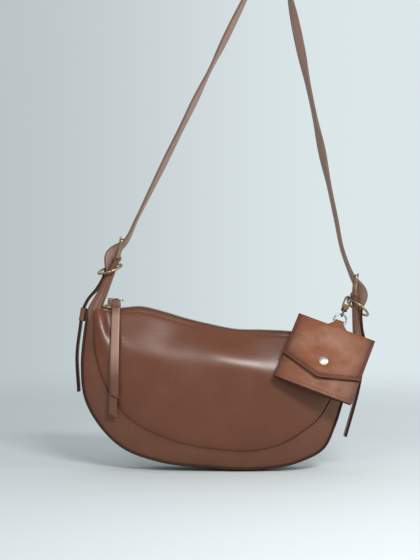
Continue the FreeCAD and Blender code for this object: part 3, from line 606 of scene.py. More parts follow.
# %% How far the walls swell
MOUTH, SHOULDER, CREST, SIDE = 7.0, 1.5, 35.0, 24.0
CORNER_CREST, CORNER_SIDE = 8.0, 8.0
KNEES = [(-30, 42), (38, 45), (75, 49), (110, 44), (140, 40), (175, 42.5), (211, 46), (320, 48)]
KNEE_SOFT, KNEE_LAST, KNEE_AFTER = 0.09, 0.85, 0.25
LOW_TURN = 0.95


def swell(u, power):
    return max(math.sin(math.pi * u), 0) ** power


def crest_at(u):
    return CORNER_CREST + (CREST - CORNER_CREST) * swell(u, 0.6)


def side_at(u):
    return CORNER_SIDE + (SIDE - CORNER_SIDE) * swell(u, 0.7)


def knee_at(u):
    """Where a section's sloping upper part turns into the hanging one, as a share of the way to its crest."""
    top, edge = top_at(u), edge_at(u)
    share = 0.3
    for _ in range(5):
        share = min(through(KNEES, top.x + (edge.x - top.x) * share) / max(edge.y, 1), 1)
    return 2 * share / (1 + (2 * share / KNEE_LAST) ** 4) ** 0.25


def rise_at(t, knee):
    """How much of its swell a section has reached at t: a steady slope, a soft knee and a gentle rest."""
    def climbed(x):
        turned = math.log(1 + math.exp(knee / KNEE_SOFT)) - math.log(1 + math.exp((knee - x) / KNEE_SOFT))
        return KNEE_SOFT * turned + KNEE_AFTER * (x - x * x / 2)
    return climbed(t) / climbed(1)


def bulge(u, share):
    """Half the bag's thickness at a share of the way from the zip to the edge."""
    crest, side = crest_at(u), side_at(u)
    if share <= 0.5:
        t = share / 0.5
        rise = rise_at(t, knee_at(u))
        return MOUTH + (crest - MOUTH) * rise + SHOULDER * (1 - math.exp(-share / 0.03)) * (1 - t) ** 2
    way = LOW_TURN * (share - 0.5) * 2
    low = math.sqrt(1 - LOW_TURN ** 2)
    return side + (crest - side) * (math.sqrt(1 - way ** 2) - low) / (1 - low)


print("half thickness at mid height:", [round(bulge(n / 6, 0.5), 1) for n in range(7)])

# %% [markdown]
# ## Seam line and gathers
# The crescent's seam is widest at the two lower corners, and the leather gathers near the left end, where
# the strap pulls. Both could be drawn on the mesh by hand, but every panel has to agree on them. So the
# seam is a table of widths along the edge, and each gather is a soft bump that all skins share.

# %% Seam line
BAND_WIDTHS = [(0, 4), (0.05, 8.5), (0.08, 10.2), (0.11, 13.2), (0.14, 17), (0.17, 22.3), (0.2, 26.6),
               (0.26, 30.5), (0.34, 32), (0.41, 27.6), (0.5, 21.5), (0.6, 20.7), (0.65, 23.7), (0.69, 28),
               (0.73, 30.5), (0.76, 28.3), (0.8, 19.3), (0.86, 11), (1, 4)]


def seam_share(u):
    """Where the crescent band's seam crosses a section."""
    run = edge_at(u) - top_at(u)
    return 1 - through(BAND_WIDTHS, u) / (abs(run.normalized().dot(edge_normal(u, 0.07))) * run.length)


print("seam shares:", [round(seam_share(n / 8), 2) for n in range(9)])

# %% Gathers and places on the skin


def gathers(s, h, front):
    """Soft creases of the leather, in millimetres outwards."""
    fade = max(1 - h / 150, 0)
    lift = 0.5 * math.sin(s / 23 + h / 31) * fade + 0.4 * math.sin(s / 41 - h / 17 + 1.3) * fade
    lift += 0.5 * math.sin(s / 9.5 + 0.6) * max(1 - h / 26, 0)
    if front:
        ridge = s - (-12.5 + 0.3 * h + 0.0016 * h * h)
        lift += 2.4 * hump(ridge, 0, 7.0) * hump(h, 18, 32)
        lift -= 4.2 * hump(ridge, 13, 8.5) * hump(h, 20, 22)
        knee = through(KNEES, s)
        lift += 0.8 * hump(h, knee, 14) * hump(s, 60, 28)
        lift += 1.0 * hump(h, knee, 14) * hump(s, 176, 36)
        lift -= 0.8 * hump(s, 116, 20) * hump(h, 52, 20)
    return lift


def body_point(u, share, side, inset=0.0):
    """A place on the bag's skin, set in by inset."""
    s, h, lift = fan(u, share)
    calm = min(share / 0.06, 1) * min(max(1.02 - share, 0) / 0.3, 1)
    out = bulge(u, share) - inset + gathers(s, h, side < 0) * calm
    return hung(s, h - lift, side * out)


print("deepest gather:", round(min(gathers(s, 20, True) for s in range(0, 300, 5)), 1), "mm")

# %% [markdown]
# ## Upper panels
# The upper panel is the smooth piece below the zip. It could be one mesh with the crescent below it, but
# the real bag has two pieces and a seam. So it ends just under the crescent, and a shallow groove marks
# its row of stitches. Its columns crowd at both ends, where the leather gathers.

# %% Upper panels
LEATHER = 1.8
STITCH_DROP, STITCH_GROOVE = 5.0, 0.5
CROWD, CROWD_TRIM = 0.06, 0.0088


def panel(name, side):
    """An upper panel, from the zip down to just under the seam; side is -1 in front and 1 at the back."""
    def place(u, v):
        u = (1 - math.cos(math.pi * (CROWD + (1 - 2 * CROWD) * u))) / 2
        u = min(max((u - CROWD_TRIM) / (1 - 2 * CROWD_TRIM), 0), 1)
        share = v ** 1.15 * (seam_share(u) + 0.02)
        run = (edge_at(u) - top_at(u)).length
        groove = STITCH_GROOVE * hump(share * run, STITCH_DROP, 1.2)
        tuck = 1.3 * min(max((v - 0.93) / 0.06, 0), 1)
        return body_point(u, share, side, groove + tuck)

    piece = skin(name, 170, 64, place, (0, side, 0))
    paint(piece, [bag_leather, edge_paint])
    return thicken(piece, LEATHER, 0.5)


for name, side in (("front_upper_panel", -1), ("back_upper_panel", 1)):
    dress(panel(name + "_skin", side), "bag", [], [name])

# %% [markdown]
# ## Crescent bands
# The crescent is sewn on top of the panel, and its raised, cut edge draws the curved line on the bag; that
# edge is painted near black, which also gives the seam's shadow line as painted shade. A dark line in the
# material could stand for it, but from the side it would be flat. So the band's first rows stand off as a
# lip.

# %% Crescent bands
LIP = 0.9


def band(name, side):
    """A crescent, from the seam with its lip down to the lower edge."""
    def place(u, v):
        first = seam_share(u)
        share = first + (1 - first) * v ** 1.3
        lip = LIP * max(1 - v / 0.3, 0) ** 2
        return body_point(u, share, side, -lip)

    piece = skin(name, 200, 22, place, (0, side, 0))
    # The cut edge's near black includes painted shade along the seam.
    paint(piece, [band_leather, shaded_cut_edge])
    return thicken(piece, LEATHER, 0.6)


for name, side in (("front_crescent_band", -1), ("back_crescent_band", 1)):
    dress(band(name + "_skin", side), "bag", [], [name])

# %% [markdown]
# ## Gusset and piping
# The gusset is the strip that joins front and back, and the piping is a thin roll of leather along both
# its seams. A curve with a round bevel could make the piping. A grid rolled up to a tube gives the same
# form, ends in closed caps and keeps to one way of working.

# %% Gusset and piping
END_TRIM, SEAM_IN = 0.006, 0.6
PIPING_OUT, PIPING_TALL, PIPING_DEEP = 1.5, 1.7, 1.5


def gusset_place(u, v):
    """Along the lower edge by u, from front to back by v."""
    u = END_TRIM + (1 - 2 * END_TRIM) * u
    edge = edge_at(u) + edge_normal(u) * (0.5 * math.sin(v * math.pi))
    return hung(edge.x, edge.y, (side_at(u) - SEAM_IN) * (2 * v - 1))


def piping(name, side):
    """A closed roll of leather along one seam of the gusset."""
    def place(u, v):
        u = END_TRIM + (1 - 2 * END_TRIM) * u
        turn = 2 * math.pi * v
        centre = edge_at(u) + edge_normal(u) * (PIPING_OUT + PIPING_TALL * math.cos(turn))
        return hung(centre.x, centre.y, side * (side_at(u) - SEAM_IN) + PIPING_DEEP * math.sin(turn))

    return skin(name, 220, 12, place, weld=True, cap=True)


gusset = skin("gusset_skin", 160, 14, gusset_place, (0, 0, -1))
paint(gusset, [bag_leather, bag_leather])
dress(thicken(gusset, LEATHER, 0), "bag", [], ["gusset"])
for name, side in (("front_piping", -1), ("back_piping", 1)):
    dress(piping(name + "_welt", side), "bag", [piping_leather], [name])

# %% [markdown]
# ## Lining
# A thin cloth bag hangs inside. It could be left out, but then one could look between the teeth right
# through the bag. It's the body's own form again, a little smaller, as one sheet that runs down the front
# and up the back.

# %% Lining
LINING_IN, LINING_SLACK, CLOTH = 2.4, 6.0, 0.6


def lining_place(u, v):
    """Down the front and up the back by v, inside the walls."""
    u = 0.05 + 0.9 * u
    share = 0.03 + 0.93 * (1 - abs(2 * v - 1)) ** 0.85
    side = -1 if v < 0.5 else 1
    closing = hump(v, 0.5, 0.06)
    s, h, lift = fan(u, share)
    out = bulge(u, share) - LINING_IN - LINING_SLACK * min(share / 0.2, 1)
    return hung(s, h - lift, side * max(out * (1 - closing * hump(v, 0.5, 0.02)), 0))


lining = skin("lining_cloth_bag", 70, 60, lining_place, (0, 0, -1))
paint(lining, [lining_cloth, lining_cloth])
dress(thicken(lining, CLOTH, 0), "bag", [], ["lining"])

# %% [markdown]
# ## Zip
# A zip is two woven tapes with a row of metal teeth each. Teeth could be a pattern in a material, but
# their outline shows along the top edge. So one tooth is modelled and copied along both tapes, half a
# pitch apart, so that the rows mesh. Tapes and teeth follow the lifted and sagging top edge.

# %% Zip tapes
ZIP_RISE = 1.0
TAPE_START, TAPE_LONG, TAPE_NEAR, TAPE_SHELF = -6.5, 314.5, 3.0, 0.35


def tape(name, side):
    """A strip of cloth that lies flat beside the teeth and then turns down along the panel."""
    def place(u, v):
        s = TAPE_START + TAPE_LONG * u
        across = TAPE_NEAR + 2.2 * min(v / TAPE_SHELF, 1)
        drop = -ZIP_RISE + 9.5 * max(v - TAPE_SHELF, 0) / (1 - TAPE_SHELF)
        return hung(s, drop - wave(s), side * (across - 0.5 * max(v - 0.6, 0)))

    piece = skin(name, 120, 12, place, (0, 0, 1))
    paint(piece, [tape_cloth, tape_cloth])
    return thicken(piece, CLOTH, 0)


for name, side in (("zip_tape_front", -1), ("zip_tape_back", 1)):
    dress(tape(name + "_weave", side), "bag", [], [name])

# %% Zip teeth
TOOTH_LONG, TOOTH_WIDE, TOOTH_THICK, TOOTH_BEVEL, NIB_SHARE = 1.3, 3.6, 2.4, 0.28, 0.72
TOOTH_PITCH, TEETH_START, TOOTH_COUNT, ROW_OFF = 3.0, 4.0, 100, 1.2


def copied(name, model, places):
    """Copies of one small model, each with its own mesh, joined into one piece."""
    copies = []
    for matrix in places:
        copy = model.copy()
        copy.data = model.data.copy()
        copy.data.transform(matrix)
        bpy.context.scene.collection.objects.link(copy)
        copies.append(copy)
    return joined(copies, name)


deselect()
bpy.ops.mesh.primitive_cube_add(size=1)
tooth = bpy.context.active_object
tooth.data.transform(Matrix.Diagonal((TOOTH_LONG * MM, TOOTH_WIDE * MM, TOOTH_THICK * MM, 1)))
bpy.ops.object.mode_set(mode="EDIT")
bpy.ops.mesh.select_all(action="SELECT")
bpy.ops.mesh.bevel(offset=TOOTH_BEVEL * MM, segments=1)
bpy.ops.object.mode_set(mode="OBJECT")
for vertex in tooth.data.vertices:
    if vertex.co.y > 0:
        vertex.co.x *= NIB_SHARE
for name, side in (("zip_teeth_front", -1), ("zip_teeth_back", 1)):
    places = []
    for n in range(TOOTH_COUNT):
        s = TEETH_START + TOOTH_PITCH * (n + (0.5 if side > 0 else 0))
        slope = math.atan2(wave(s + 1) - wave(s - 1), 2)
        turn = Matrix.Rotation(TILT - slope, 4, "Y")
        if side > 0:
            turn = turn @ Matrix.Rotation(math.pi, 4, "Z")
        places.append(Matrix.Translation(hung(s, -ZIP_RISE - wave(s), side * ROW_OFF)) @ turn)
    dress(copied(name + "_row", tooth, places), "bag", [zip_brass], [name], 30)
bpy.data.objects.remove(tooth)

# %% [markdown]
# ## Strap
# The strap is two faces of leather on a core, with a painted edge. It runs from one hanging end through a
# buckle, up over the peg and down to the other end. A curve with a flat bevel could make it, but its edge
# would be plain. Here a layered section is swept along a smooth line, with a slight twist in each run.

# %% The strap's line
LEFT_LINE = [(-22.1, 108.0, 0), (-30.6, 60.0, 0), (-31.0, 30.0, 0), (-29.9, 4.0, 0), (-25.5, -8.5, 0),
             (-16.84, -21.5, 0.1), (-7.0, -48.5, 0.5), (-5.9, -65.0, 1.45), (11.06, -86.21, 0.4)]
RIGHT_LINE = [(314.95, 119.0, 0), (319.57, 87.94, 0), (323.0, 60.0, 0), (324.2, 30.0, 0), (323.6, 2.0, 0),
              (316.37, -19.44, 0.1), (311.8, -42.0, 0.5), (313.0, -58.5, 1.3), (296.8, -81.04, 0.3)]
LEFT_LEAVE, RIGHT_LEAVE = (135.29, -458.44), (157.3, -459.0)
PEG, PEG_REACH, PEG_REACH_RIGHT = (148.57, -454.01), 14.0, 9.4
STRAP_WIDE, STRAP_WALL = 15.0, 3.0
LEFT_TWISTS = [0.1, 0.3, 0.5, 0.4, 0.55, 0.15, 0.6, 0.5, 0]
RIGHT_TWISTS = [0.1, 0.15, 0.2, 0.7, 0.25, 0.3, 0.9, 0.8, 0]
TWIST = math.radians(35)
RIGHT_BOW, RUN_IN = -5.0, 30
CROWN_FROM, CROWN_TURN, CROWN_STEPS = 201, 138, 8


def strap_knots(line, leave, twists, bow=0.0):
    """Knots (s, h, turn) from a hanging end up to the peg, bowed sideways near the buckle."""
    knots = list(line)
    last, goal = Vector(line[-1][:2]), Vector(leave)
    step = (goal - last).normalized() * RUN_IN
    first, end = last + step, goal - step
    for n, share in enumerate(twists):
        way = n / (len(twists) - 1)
        at = first + (end - first) * way
        knots.append((at.x + bow * (1 - way), at.y, share))
    return knots


crown = []
for n in range(CROWN_STEPS + 1):
    angle = math.radians(CROWN_FROM + CROWN_TURN * n / CROWN_STEPS)
    reach = PEG_REACH_RIGHT if math.cos(angle) > 0 else PEG_REACH
    crown.append((PEG[0] + reach * math.cos(angle), PEG[1] + PEG_REACH * math.sin(angle), 0))
STRAP_KNOTS = strap_knots(LEFT_LINE, LEFT_LEAVE, LEFT_TWISTS) + crown
STRAP_KNOTS += strap_knots(RIGHT_LINE, RIGHT_LEAVE, RIGHT_TWISTS, RIGHT_BOW)[::-1]
print("knots of the strap:", len(STRAP_KNOTS))

# %% The layered ribbon
SECTION = [(-0.93, 1.0), (-0.45, 1.05), (0, 1.07), (0.45, 1.05), (0.93, 1.0), (0.99, 0.85), (1.0, 0.5),
           (0.96, 0.38), (0.96, -0.38), (1.0, -0.5), (0.99, -0.85), (0.93, -1.0), (0.45, -1.05), (0, -1.07),
           (-0.45, -1.05), (-0.93, -1.0), (-0.99, -0.85), (-1.0, -0.5), (-0.96, -0.38), (-0.96, 0.38),
           (-1.0, 0.5), (-0.99, 0.85)]
FACE_ROWS, TAIL_SHARE = 4, 0.13


def ribbon(name, knots, wide, wall, columns, where, twist=0.0, slant=0.0):
    """A layered ribbon along knots (a, b, turn), placed by where(a, b, across), with slanted ends."""
    def place(u, v):
        a, b = SECTION[round(v * len(SECTION)) % len(SECTION)]
        a, b = a * wide / 2, b * wall / 2
        ends = max(1 - u / 0.1, 0) - max(1 - (1 - u) / 0.1, 0)
        u += slant * (0.5 - a / wide) * ends
        here = smooth_line(knots, u)
        ahead = smooth_line(knots, min(u + 0.002, 1)) - smooth_line(knots, max(u - 0.002, 0))
        along = Vector((ahead.x, ahead.y)).normalized()
        side = Vector((-along.y, along.x))
        turn = here.z * twist
        out = side * (a * math.sin(turn) + b * math.cos(turn))
        return where(here.x + out.x, here.y + out.y, a * math.cos(turn) - b * math.sin(turn))

    return skin(name, columns, len(SECTION), place, weld=True, cap=True)


def paint_edges(piece, face, tail, edge):
    """A ribbon's faces get one material, its narrow sides another, and those of its hanging ends a third; on
    the strap that third is darker, as painted shade on the hanging ends.
    """
    paint(piece, [face, tail, edge])
    marks = piece.data.uv_layers.active.data
    for polygon in piece.data.polygons:
        rows = [marks[n].uv.y for n in polygon.loop_indices]
        row = int(sum(rows) / len(rows) * len(SECTION))
        narrow = FACE_ROWS <= row < len(SECTION) // 2 or row >= len(SECTION) // 2 + FACE_ROWS
        along = sum(marks[n].uv.x for n in polygon.loop_indices) / len(rows)
        if narrow or len(polygon.vertices) > 4:
            # The narrow sides near the ends take the darker material: painted shade where the ends hang.
            polygon.material_index = 2 if TAIL_SHARE < along < 1 - TAIL_SHARE else 1


strap = ribbon("shoulder_strap_ribbon", STRAP_KNOTS, STRAP_WIDE, STRAP_WALL, 420, hung, TWIST)
# The strap's edge is painted in two tones: near black edge_paint on the hanging ends, as painted shade, and
# the lighter strap_edge along the runs.
paint_edges(strap, strap_leather, edge_paint, strap_edge)
print("strap:", len(strap.data.polygons), "faces before its holes")

# %% [markdown]
# ## Spare holes
# The strap's ends have spare holes for the prongs. Dark dots could stand for them, but light has to pass
# through. So small cylinders are joined to one cutter, and a Boolean modifier takes them out of the
# strap.

# %% Spare holes in the strap's ends
HOLE_RADIUS, HOLE_PITCH, HOLE_COUNT, HOLE_LONG = 1.8, 10.0, 3, 9.0
LEFT_END, RIGHT_END = ((-29.38, -4.0), (-31.46, 57.24)), ((324.05, -4.05), (323.35, 59.98))
cutters = []
for end in (LEFT_END, RIGHT_END):
    above, below = (Vector(place) for place in end)
    up = (above - below).normalized()
    across = hung(-up.y, up.x, 0) - hung(0, 0, 0)
    for n in range(HOLE_COUNT):
        middle = below + up * HOLE_PITCH * (n + 1)
        deselect()
        bpy.ops.mesh.primitive_cylinder_add(vertices=24, radius=HOLE_RADIUS * MM, depth=HOLE_LONG * MM,
                                            location=hung(middle.x, middle.y, 0),
                                            rotation=across.to_track_quat("Z", "Y").to_euler())
        cutters.append(bpy.context.active_object)
cutter = joined(cutters, "hole_cutter")
apply(strap, "BOOLEAN", operation="DIFFERENCE", object=cutter, solver="EXACT")
bpy.data.objects.remove(cutter)
dress(strap, "bag", [], ["shoulder_strap"], 50)

# %% [markdown]
# ## Tabs
# Each tab is a strip of leather folded round the buckle's heel bar and gathered into the bag's corner, so
# its front shows the edges of its layers. A flat strip could be draped into folds, which takes long for a
# piece this small. A rounded leg with two grooves and a split fold shows the same layers, and the split
# leaves room for the prong.

# %% Leather tabs
TAB_WIDE, FOLD_IN, FOLD_OUT, SLOT_HALF = 15.0, 2.05, 4.25, 2.0
LAYER_LINES, LAYER_DEEP = (-0.42, 0.36), 1.1
LEG_DEPTHS, LEG_GAP, LEG_HALF = (12.5, 12.4, 8.4, 7.2), 3.2, 3.0
FOLD_CORNERS = [(FOLD_IN, 0.0), (FOLD_OUT - 0.4, 0.0), (FOLD_OUT, 0.08), (FOLD_OUT, 0.92),
                (FOLD_OUT - 0.4, 1.0), (FOLD_IN, 1.0)]


def flattened(value, power):
    """A sine or cosine pulled towards its ends, which turns a circle into a rounded oblong."""
    return math.copysign(abs(value) ** power, value)


def tab(name, inner, outer, root, heel, up, out):
    """The gathered leg, which sinks into the bag's corner, and the two halves of the fold round the bar."""
    inner, outer, heel, up, out = (Vector(p) for p in (inner, outer, heel, up, out))
    foot, top = (inner + outer) / 2, heel - up * LEG_GAP
    lean = (outer - inner) / 2
    waist = (foot * 2 + top) / 3
    middles = [(*at, deep) for at, deep in zip((root, foot, waist, top), LEG_DEPTHS)]
    sunk = (foot - Vector(root)).length / ((foot - Vector(root)).length + (top - foot).length)

    def leg(u, v):
        turn = 2 * math.pi * v
        a, b = flattened(math.cos(turn), 0.5), flattened(math.sin(turn), 0.35)
        rise = max((u - sunk) / (1 - sunk), 0)
        here = smooth_line(middles, u)
        across = lean * (1 - rise) + out * (LEG_HALF * rise)
        groove = sum(hump(a, line + 0.1 * math.sin(3 * u), 0.11) for line in LAYER_LINES)
        flat = Vector(here.xy) + across * (a * (1 - 0.1 * math.sin(math.pi * u)))
        return hung(flat.x, flat.y, b * (here.z - LAYER_DEEP * groove * (1 - 0.4 * u)))

    def fold(side):
        def place(u, v):
            reach, share = FOLD_CORNERS[round(v * len(FOLD_CORNERS)) % len(FOLD_CORNERS)]
            turn = 2 * math.pi * u
            flat = heel + (out * math.cos(turn) + up * math.sin(turn)) * reach
            return hung(flat.x, flat.y, side * (SLOT_HALF + (TAB_WIDE / 2 - SLOT_HALF) * share))
        return place

    pieces = [skin(name, 40, 96, leg, weld=True, cap=True), skin("fold", 36, 6, fold(-1), weld=True),
              skin("fold", 36, 6, fold(1), weld=True)]
    return joined(pieces, name)


TABS = {
    "left_tab": ((-6.0, 2.5), (-25.2, 5.0), (-7.0, 36.0), (3.8, -62.95), (0.27, -0.96), (-0.96, -0.27)),
    "right_tab": ((308.8, 2.0), (320.6, 0.0), (303.0, 36.0), (302.7, -57.41), (-0.19, -0.98), (0.98, -0.19))}
for name, places in TABS.items():
    # The tabs' paler leather is painted light.
    dress(tab(name + "_fold", *places), "bag", [lit_tab_leather], [name], 50)

# %% [markdown]
# ## Keepers
# A keeper is a closed leather loop that holds the strap's hanging end. A box with a hole could make it,
# but its corners would be too sharp. Here a band is bent to a rounded oblong, drawn in a little at its
# middle, and then given its wall.

# %% Leather keepers
KEEPER_DROP, KEEPER_TALL, KEEPER_WALL = 8.0, 16.0, 1.7
KEEPER_HALF = (3.75, 9.75)


def band_loop(name, half_a, half_b, tall, wall, where):
    """A flat band closed on itself, placed by where(a, b, drop)."""
    def place(u, v):
        turn = 2 * math.pi * u
        a, b = flattened(math.cos(turn), 0.55) * half_a, flattened(math.sin(turn), 0.55) * half_b
        waist = 1 - 0.04 * math.sin(math.pi * v)
        return where(a * waist, b * waist, v * tall)

    piece = skin(name, 49, 8, place, weld=True)
    return thicken(piece, wall, 0.35)


def keeper(name, above, below):
    """A loop round the strap's hanging end, a little below the place above."""
    above, below = Vector(above), Vector(below)
    down = (below - above).normalized()
    across = Vector((down.y, -down.x))
    start = above + down * KEEPER_DROP

    def where(a, b, drop):
        flat = start + down * drop + across * a
        return hung(flat.x, flat.y, b)

    piece = band_loop(name, *KEEPER_HALF, KEEPER_TALL, KEEPER_WALL, where)
    return dress(piece, "bag", [band_leather, edge_paint], [name.replace("_loop", "")])


keeper("left_leather_keeper_loop", *LEFT_END)
keeper("right_leather_keeper_loop", *RIGHT_END)

# %% [markdown]
# ## Zip pull
# A leather thong is folded through the slider's link and hangs straight down in front of the belly, its
# two tails of different length cut at a slant. Two strips could make it, but the fold would show a gap.
# So it is one ribbon that goes up, round the link and down again. A collar closes the fold.

# %% The thong's line
BAIL, LINK_FRONT, FOLD = -10.0, 12.0, 2.0
THONG_MIDDLE, THONG_WIDE, THONG_WALL = 10.0, 9.5, 1.6
REAR_DROP, FRONT_DROP, BELLY_DROP, BELLY = 132.0, 108.0, 87.75, 37.0
PULL_S, TAIL_STEP, TAIL_LIFT, TAIL_FREE = 2.0, 1.9, 1.5, 50


def plumb(s, h, y):
    """A place of the pull, which hangs straight down from the slider's bail."""
    return hung(PULL_S, BAIL, 0) + Vector((s - PULL_S, y, BAIL - h)) * MM


def thong_rear(h):
    """How far in front of the zip the rear tail hangs."""
    way = max((BELLY_DROP - h) / (BELLY_DROP - BAIL), 0)
    return BELLY - (BELLY - LINK_FRONT + FOLD) * way ** 1.6


def thong_front(h):
    """The front tail lies on the rear one and lifts at its end."""
    way = min(max((h - BAIL) / -BAIL, 0), 1)
    lift = TAIL_LIFT * max((h - TAIL_FREE) / (FRONT_DROP - TAIL_FREE), 0) ** 2
    return thong_rear(h) + TAIL_STEP + (2 * FOLD - TAIL_STEP) * (1 - way) + lift


knots = [(h, -thong_rear(h), 0) for h in (REAR_DROP, 110, BELLY_DROP, 60, 40, 22, 8, -2)]
for n in range(7):
    turn = math.pi * n / 6
    knots.append((BAIL - FOLD * math.sin(turn), -LINK_FRONT + FOLD * math.cos(turn), 0))
knots += [(h, -thong_front(h), 0) for h in (-2, 8, 22, 40, 60, BELLY_DROP, FRONT_DROP)]
print("knots of the thong:", len(knots))

# %% Thong and collar


def fold_share(h):
    """The fold above the collar swells and then closes in a dome."""
    return 1 + 0.2 * hump(h, -5.5, 3) - 0.5 * hump(h, BAIL - FOLD - 1.5, 3.5)


def thong_place(h, y, across):
    """The fold is drawn together, and the rear tail hangs a little to the left of the front one."""
    rear = y > -(thong_rear(h) + thong_front(h)) / 2
    shift = -1.8 * min(max(h / 90, 0), 1.2) if rear else 0
    return plumb(THONG_MIDDLE + shift + across * fold_share(h), h, y)


thong = ribbon("pull_thong_strip", knots, THONG_WIDE, THONG_WALL, 150, thong_place, slant=0.016)
dress(thong, "zip_pull", [thong_leather], ["pull_thong"], 50)
COLLAR_TOP, COLLAR_TALL, COLLAR_WALL, COLLAR_ROOM = -4.0, 2.4, 0.8, 1.1
collar_near = thong_rear(COLLAR_TOP) - TAIL_STEP
collar_far = thong_front(COLLAR_TOP + COLLAR_TALL) + TAIL_STEP
collar_half = (collar_far - collar_near) / 2


def collar_place(a, b, drop):
    return plumb(THONG_MIDDLE + a, COLLAR_TOP + drop, -(collar_near + collar_far) / 2 + b)


collar = band_loop("pull_collar_band", THONG_WIDE / 2 + COLLAR_ROOM, collar_half, COLLAR_TALL, COLLAR_WALL,
                   collar_place)
dress(collar, "zip_pull", [band_leather, edge_paint], ["pull_collar"])

# %% [markdown]
# ## Card pouch
# The pouch is an envelope of four layers: a back, a welt that spaces it, a pocket and a pointed flap that
# folds over from the top. A box with lines in its material could stand for it, but the flap has to open.
# So each layer is a thin plate of its own, in the pouch's own frame. Edges are painted dark, except the
# flap's, which is raw.

# %% The pouch's frame
POUCH_AT, POUCH_LEAN, POUCH_TILT = Vector((91.94, 0, -432.29)), math.radians(-25), math.radians(22.2)
POUCH_TURN = Matrix.Rotation(POUCH_LEAN, 4, "X") @ Matrix.Rotation(POUCH_TILT, 4, "Y")
POUCH = Matrix.Translation(POUCH_AT * MM) @ POUCH_TURN
POUCH_TOP, POUCH_HALF, POUCH_TALL, POUCH_CORNER = 46.24, 49.5, 85.0, 3.0
POUCH_LEATHER, BACK_N, WELT_N, POCKET_N, FLAP_N = 1.6, 2.86, 4.46, 6.86, 10.06
POCKET_DROP, FLAP_SIDE, FLAP_POINT, FLAP_TIP = 9.0, 53.0, 68.0, 2.0
POUCH_LOW = POUCH_TOP + POUCH_TALL
POCKET_BOW, ROUND_FROM = 0.5, 0.8
OUT_OF_POUCH = POUCH.to_3x3() @ Vector((0, -1, 0))


def on_pouch(across, down, out):
    """A place of the pouch's own frame, in metres where it hangs."""
    return POUCH @ (Vector((across, -out, -down)) * MM)


def corner_half(down):
    """Half the width near the rounded lower corners."""
    into = max(down - (POUCH_LOW - POUCH_CORNER), 0)
    return POUCH_HALF - POUCH_CORNER + math.sqrt(max(POUCH_CORNER ** 2 - into ** 2, 0))


def round_rows(v, first):
    """Row places that crowd towards the rounded lower corners."""
    knee = (POUCH_LOW - POUCH_CORNER - first) / (POUCH_LOW - first)
    if v < ROUND_FROM:
        return first + (POUCH_LOW - first) * knee * v / ROUND_FROM
    turn = math.pi / 2 * (v - ROUND_FROM) / (1 - ROUND_FROM)
    return POUCH_LOW - POUCH_CORNER + POUCH_CORNER * math.sin(turn)


print("pouch hangs at", [round(value, 3) for value in on_pouch(0, POUCH_TOP, 0)])

# %% Back and pocket


def bowed(u, share, bow):
    """How far a layer bows out at u across and a share of the way down."""
    return bow * math.sin(math.pi * u) * math.sin(math.pi * min(share + 0.1, 1)) - 2 * bow * share ** 2


def plate(name, first, face, bow, outward):
    """A flat layer with rounded lower corners whose outer face lies at face, bowed by bow."""
    def place(u, v):
        down = round_rows(v, first)
        share = (down - first) / (POUCH_LOW - first)
        return on_pouch((2 * u - 1) * corner_half(down), down, face + bowed(u, share, bow))

    piece = skin(name, 50, 50, place, OUT_OF_POUCH * outward)
    return thicken(piece, POUCH_LEATHER, 0.3)


back = plate("pouch_back_panel_hide", POUCH_TOP, BACK_N, 0.0, -1)
dress(back, "pouch", [pouch_leather, edge_paint], ["pouch_back_panel"])
pocket = plate("pouch_front_pocket_hide", POUCH_TOP + POCKET_DROP, POCKET_N + POUCH_LEATHER, POCKET_BOW, 1)
dress(pocket, "pouch", [pouch_leather, edge_paint], ["pouch_front_pocket"])

# %% [markdown]
# ## Welt
# The welt is the narrow strip between back and pocket that makes room for cards. It could be left out,
# but its ends are seen at the open top, and its edge from the side. A flat section is swept along the
# three closed sides.

# %% Welt
WELT_WIDE, WELT_IN = 4.0, 0.3
WELT_SECTION = ((0, 0), (1, 0), (1, 1), (0, 1))
WELT_KNOTS = [(-1, POUCH_TOP + 0.2), (-1, POUCH_LOW - 20)]
for n in range(7):
    turn = math.pi / 2 * n / 6
    WELT_KNOTS.append((-1 + (1 - math.cos(turn)) * POUCH_CORNER / POUCH_HALF,
                       POUCH_LOW - POUCH_CORNER + POUCH_CORNER * math.sin(turn)))
WELT_KNOTS += [(-across, down) for across, down in WELT_KNOTS[::-1]]
WELT_LINE = [(across * POUCH_HALF, down, 0) for across, down in WELT_KNOTS]


def welt_place(u, v):
    ahead = smooth_line(WELT_LINE, min(u + 0.004, 1)) - smooth_line(WELT_LINE, max(u - 0.004, 0))
    inward = Vector((ahead.y, -ahead.x, 0)).normalized()
    step, share = WELT_SECTION[round(v * len(WELT_SECTION)) % len(WELT_SECTION)]
    flat = smooth_line(WELT_LINE, u) + inward * (WELT_IN + step * WELT_WIDE)
    return on_pouch(flat.x, flat.y, WELT_N + (POCKET_N - WELT_N) * share)


welt = skin("pouch_welt_strip", 120, 4, welt_place, weld=True, cap=True)
dress(welt, "pouch", [edge_paint], ["pouch_welt"])

# %% [markdown]
# ## Flap
# The flap is folded over the pouch's top and ends in a blunt point with a raw, pale edge. A flat plate
# could make it, but stiff leather bows and lifts at its free edge. So its rows follow the fold first, and
# then a face that stands off a little, except round the snap that holds it.

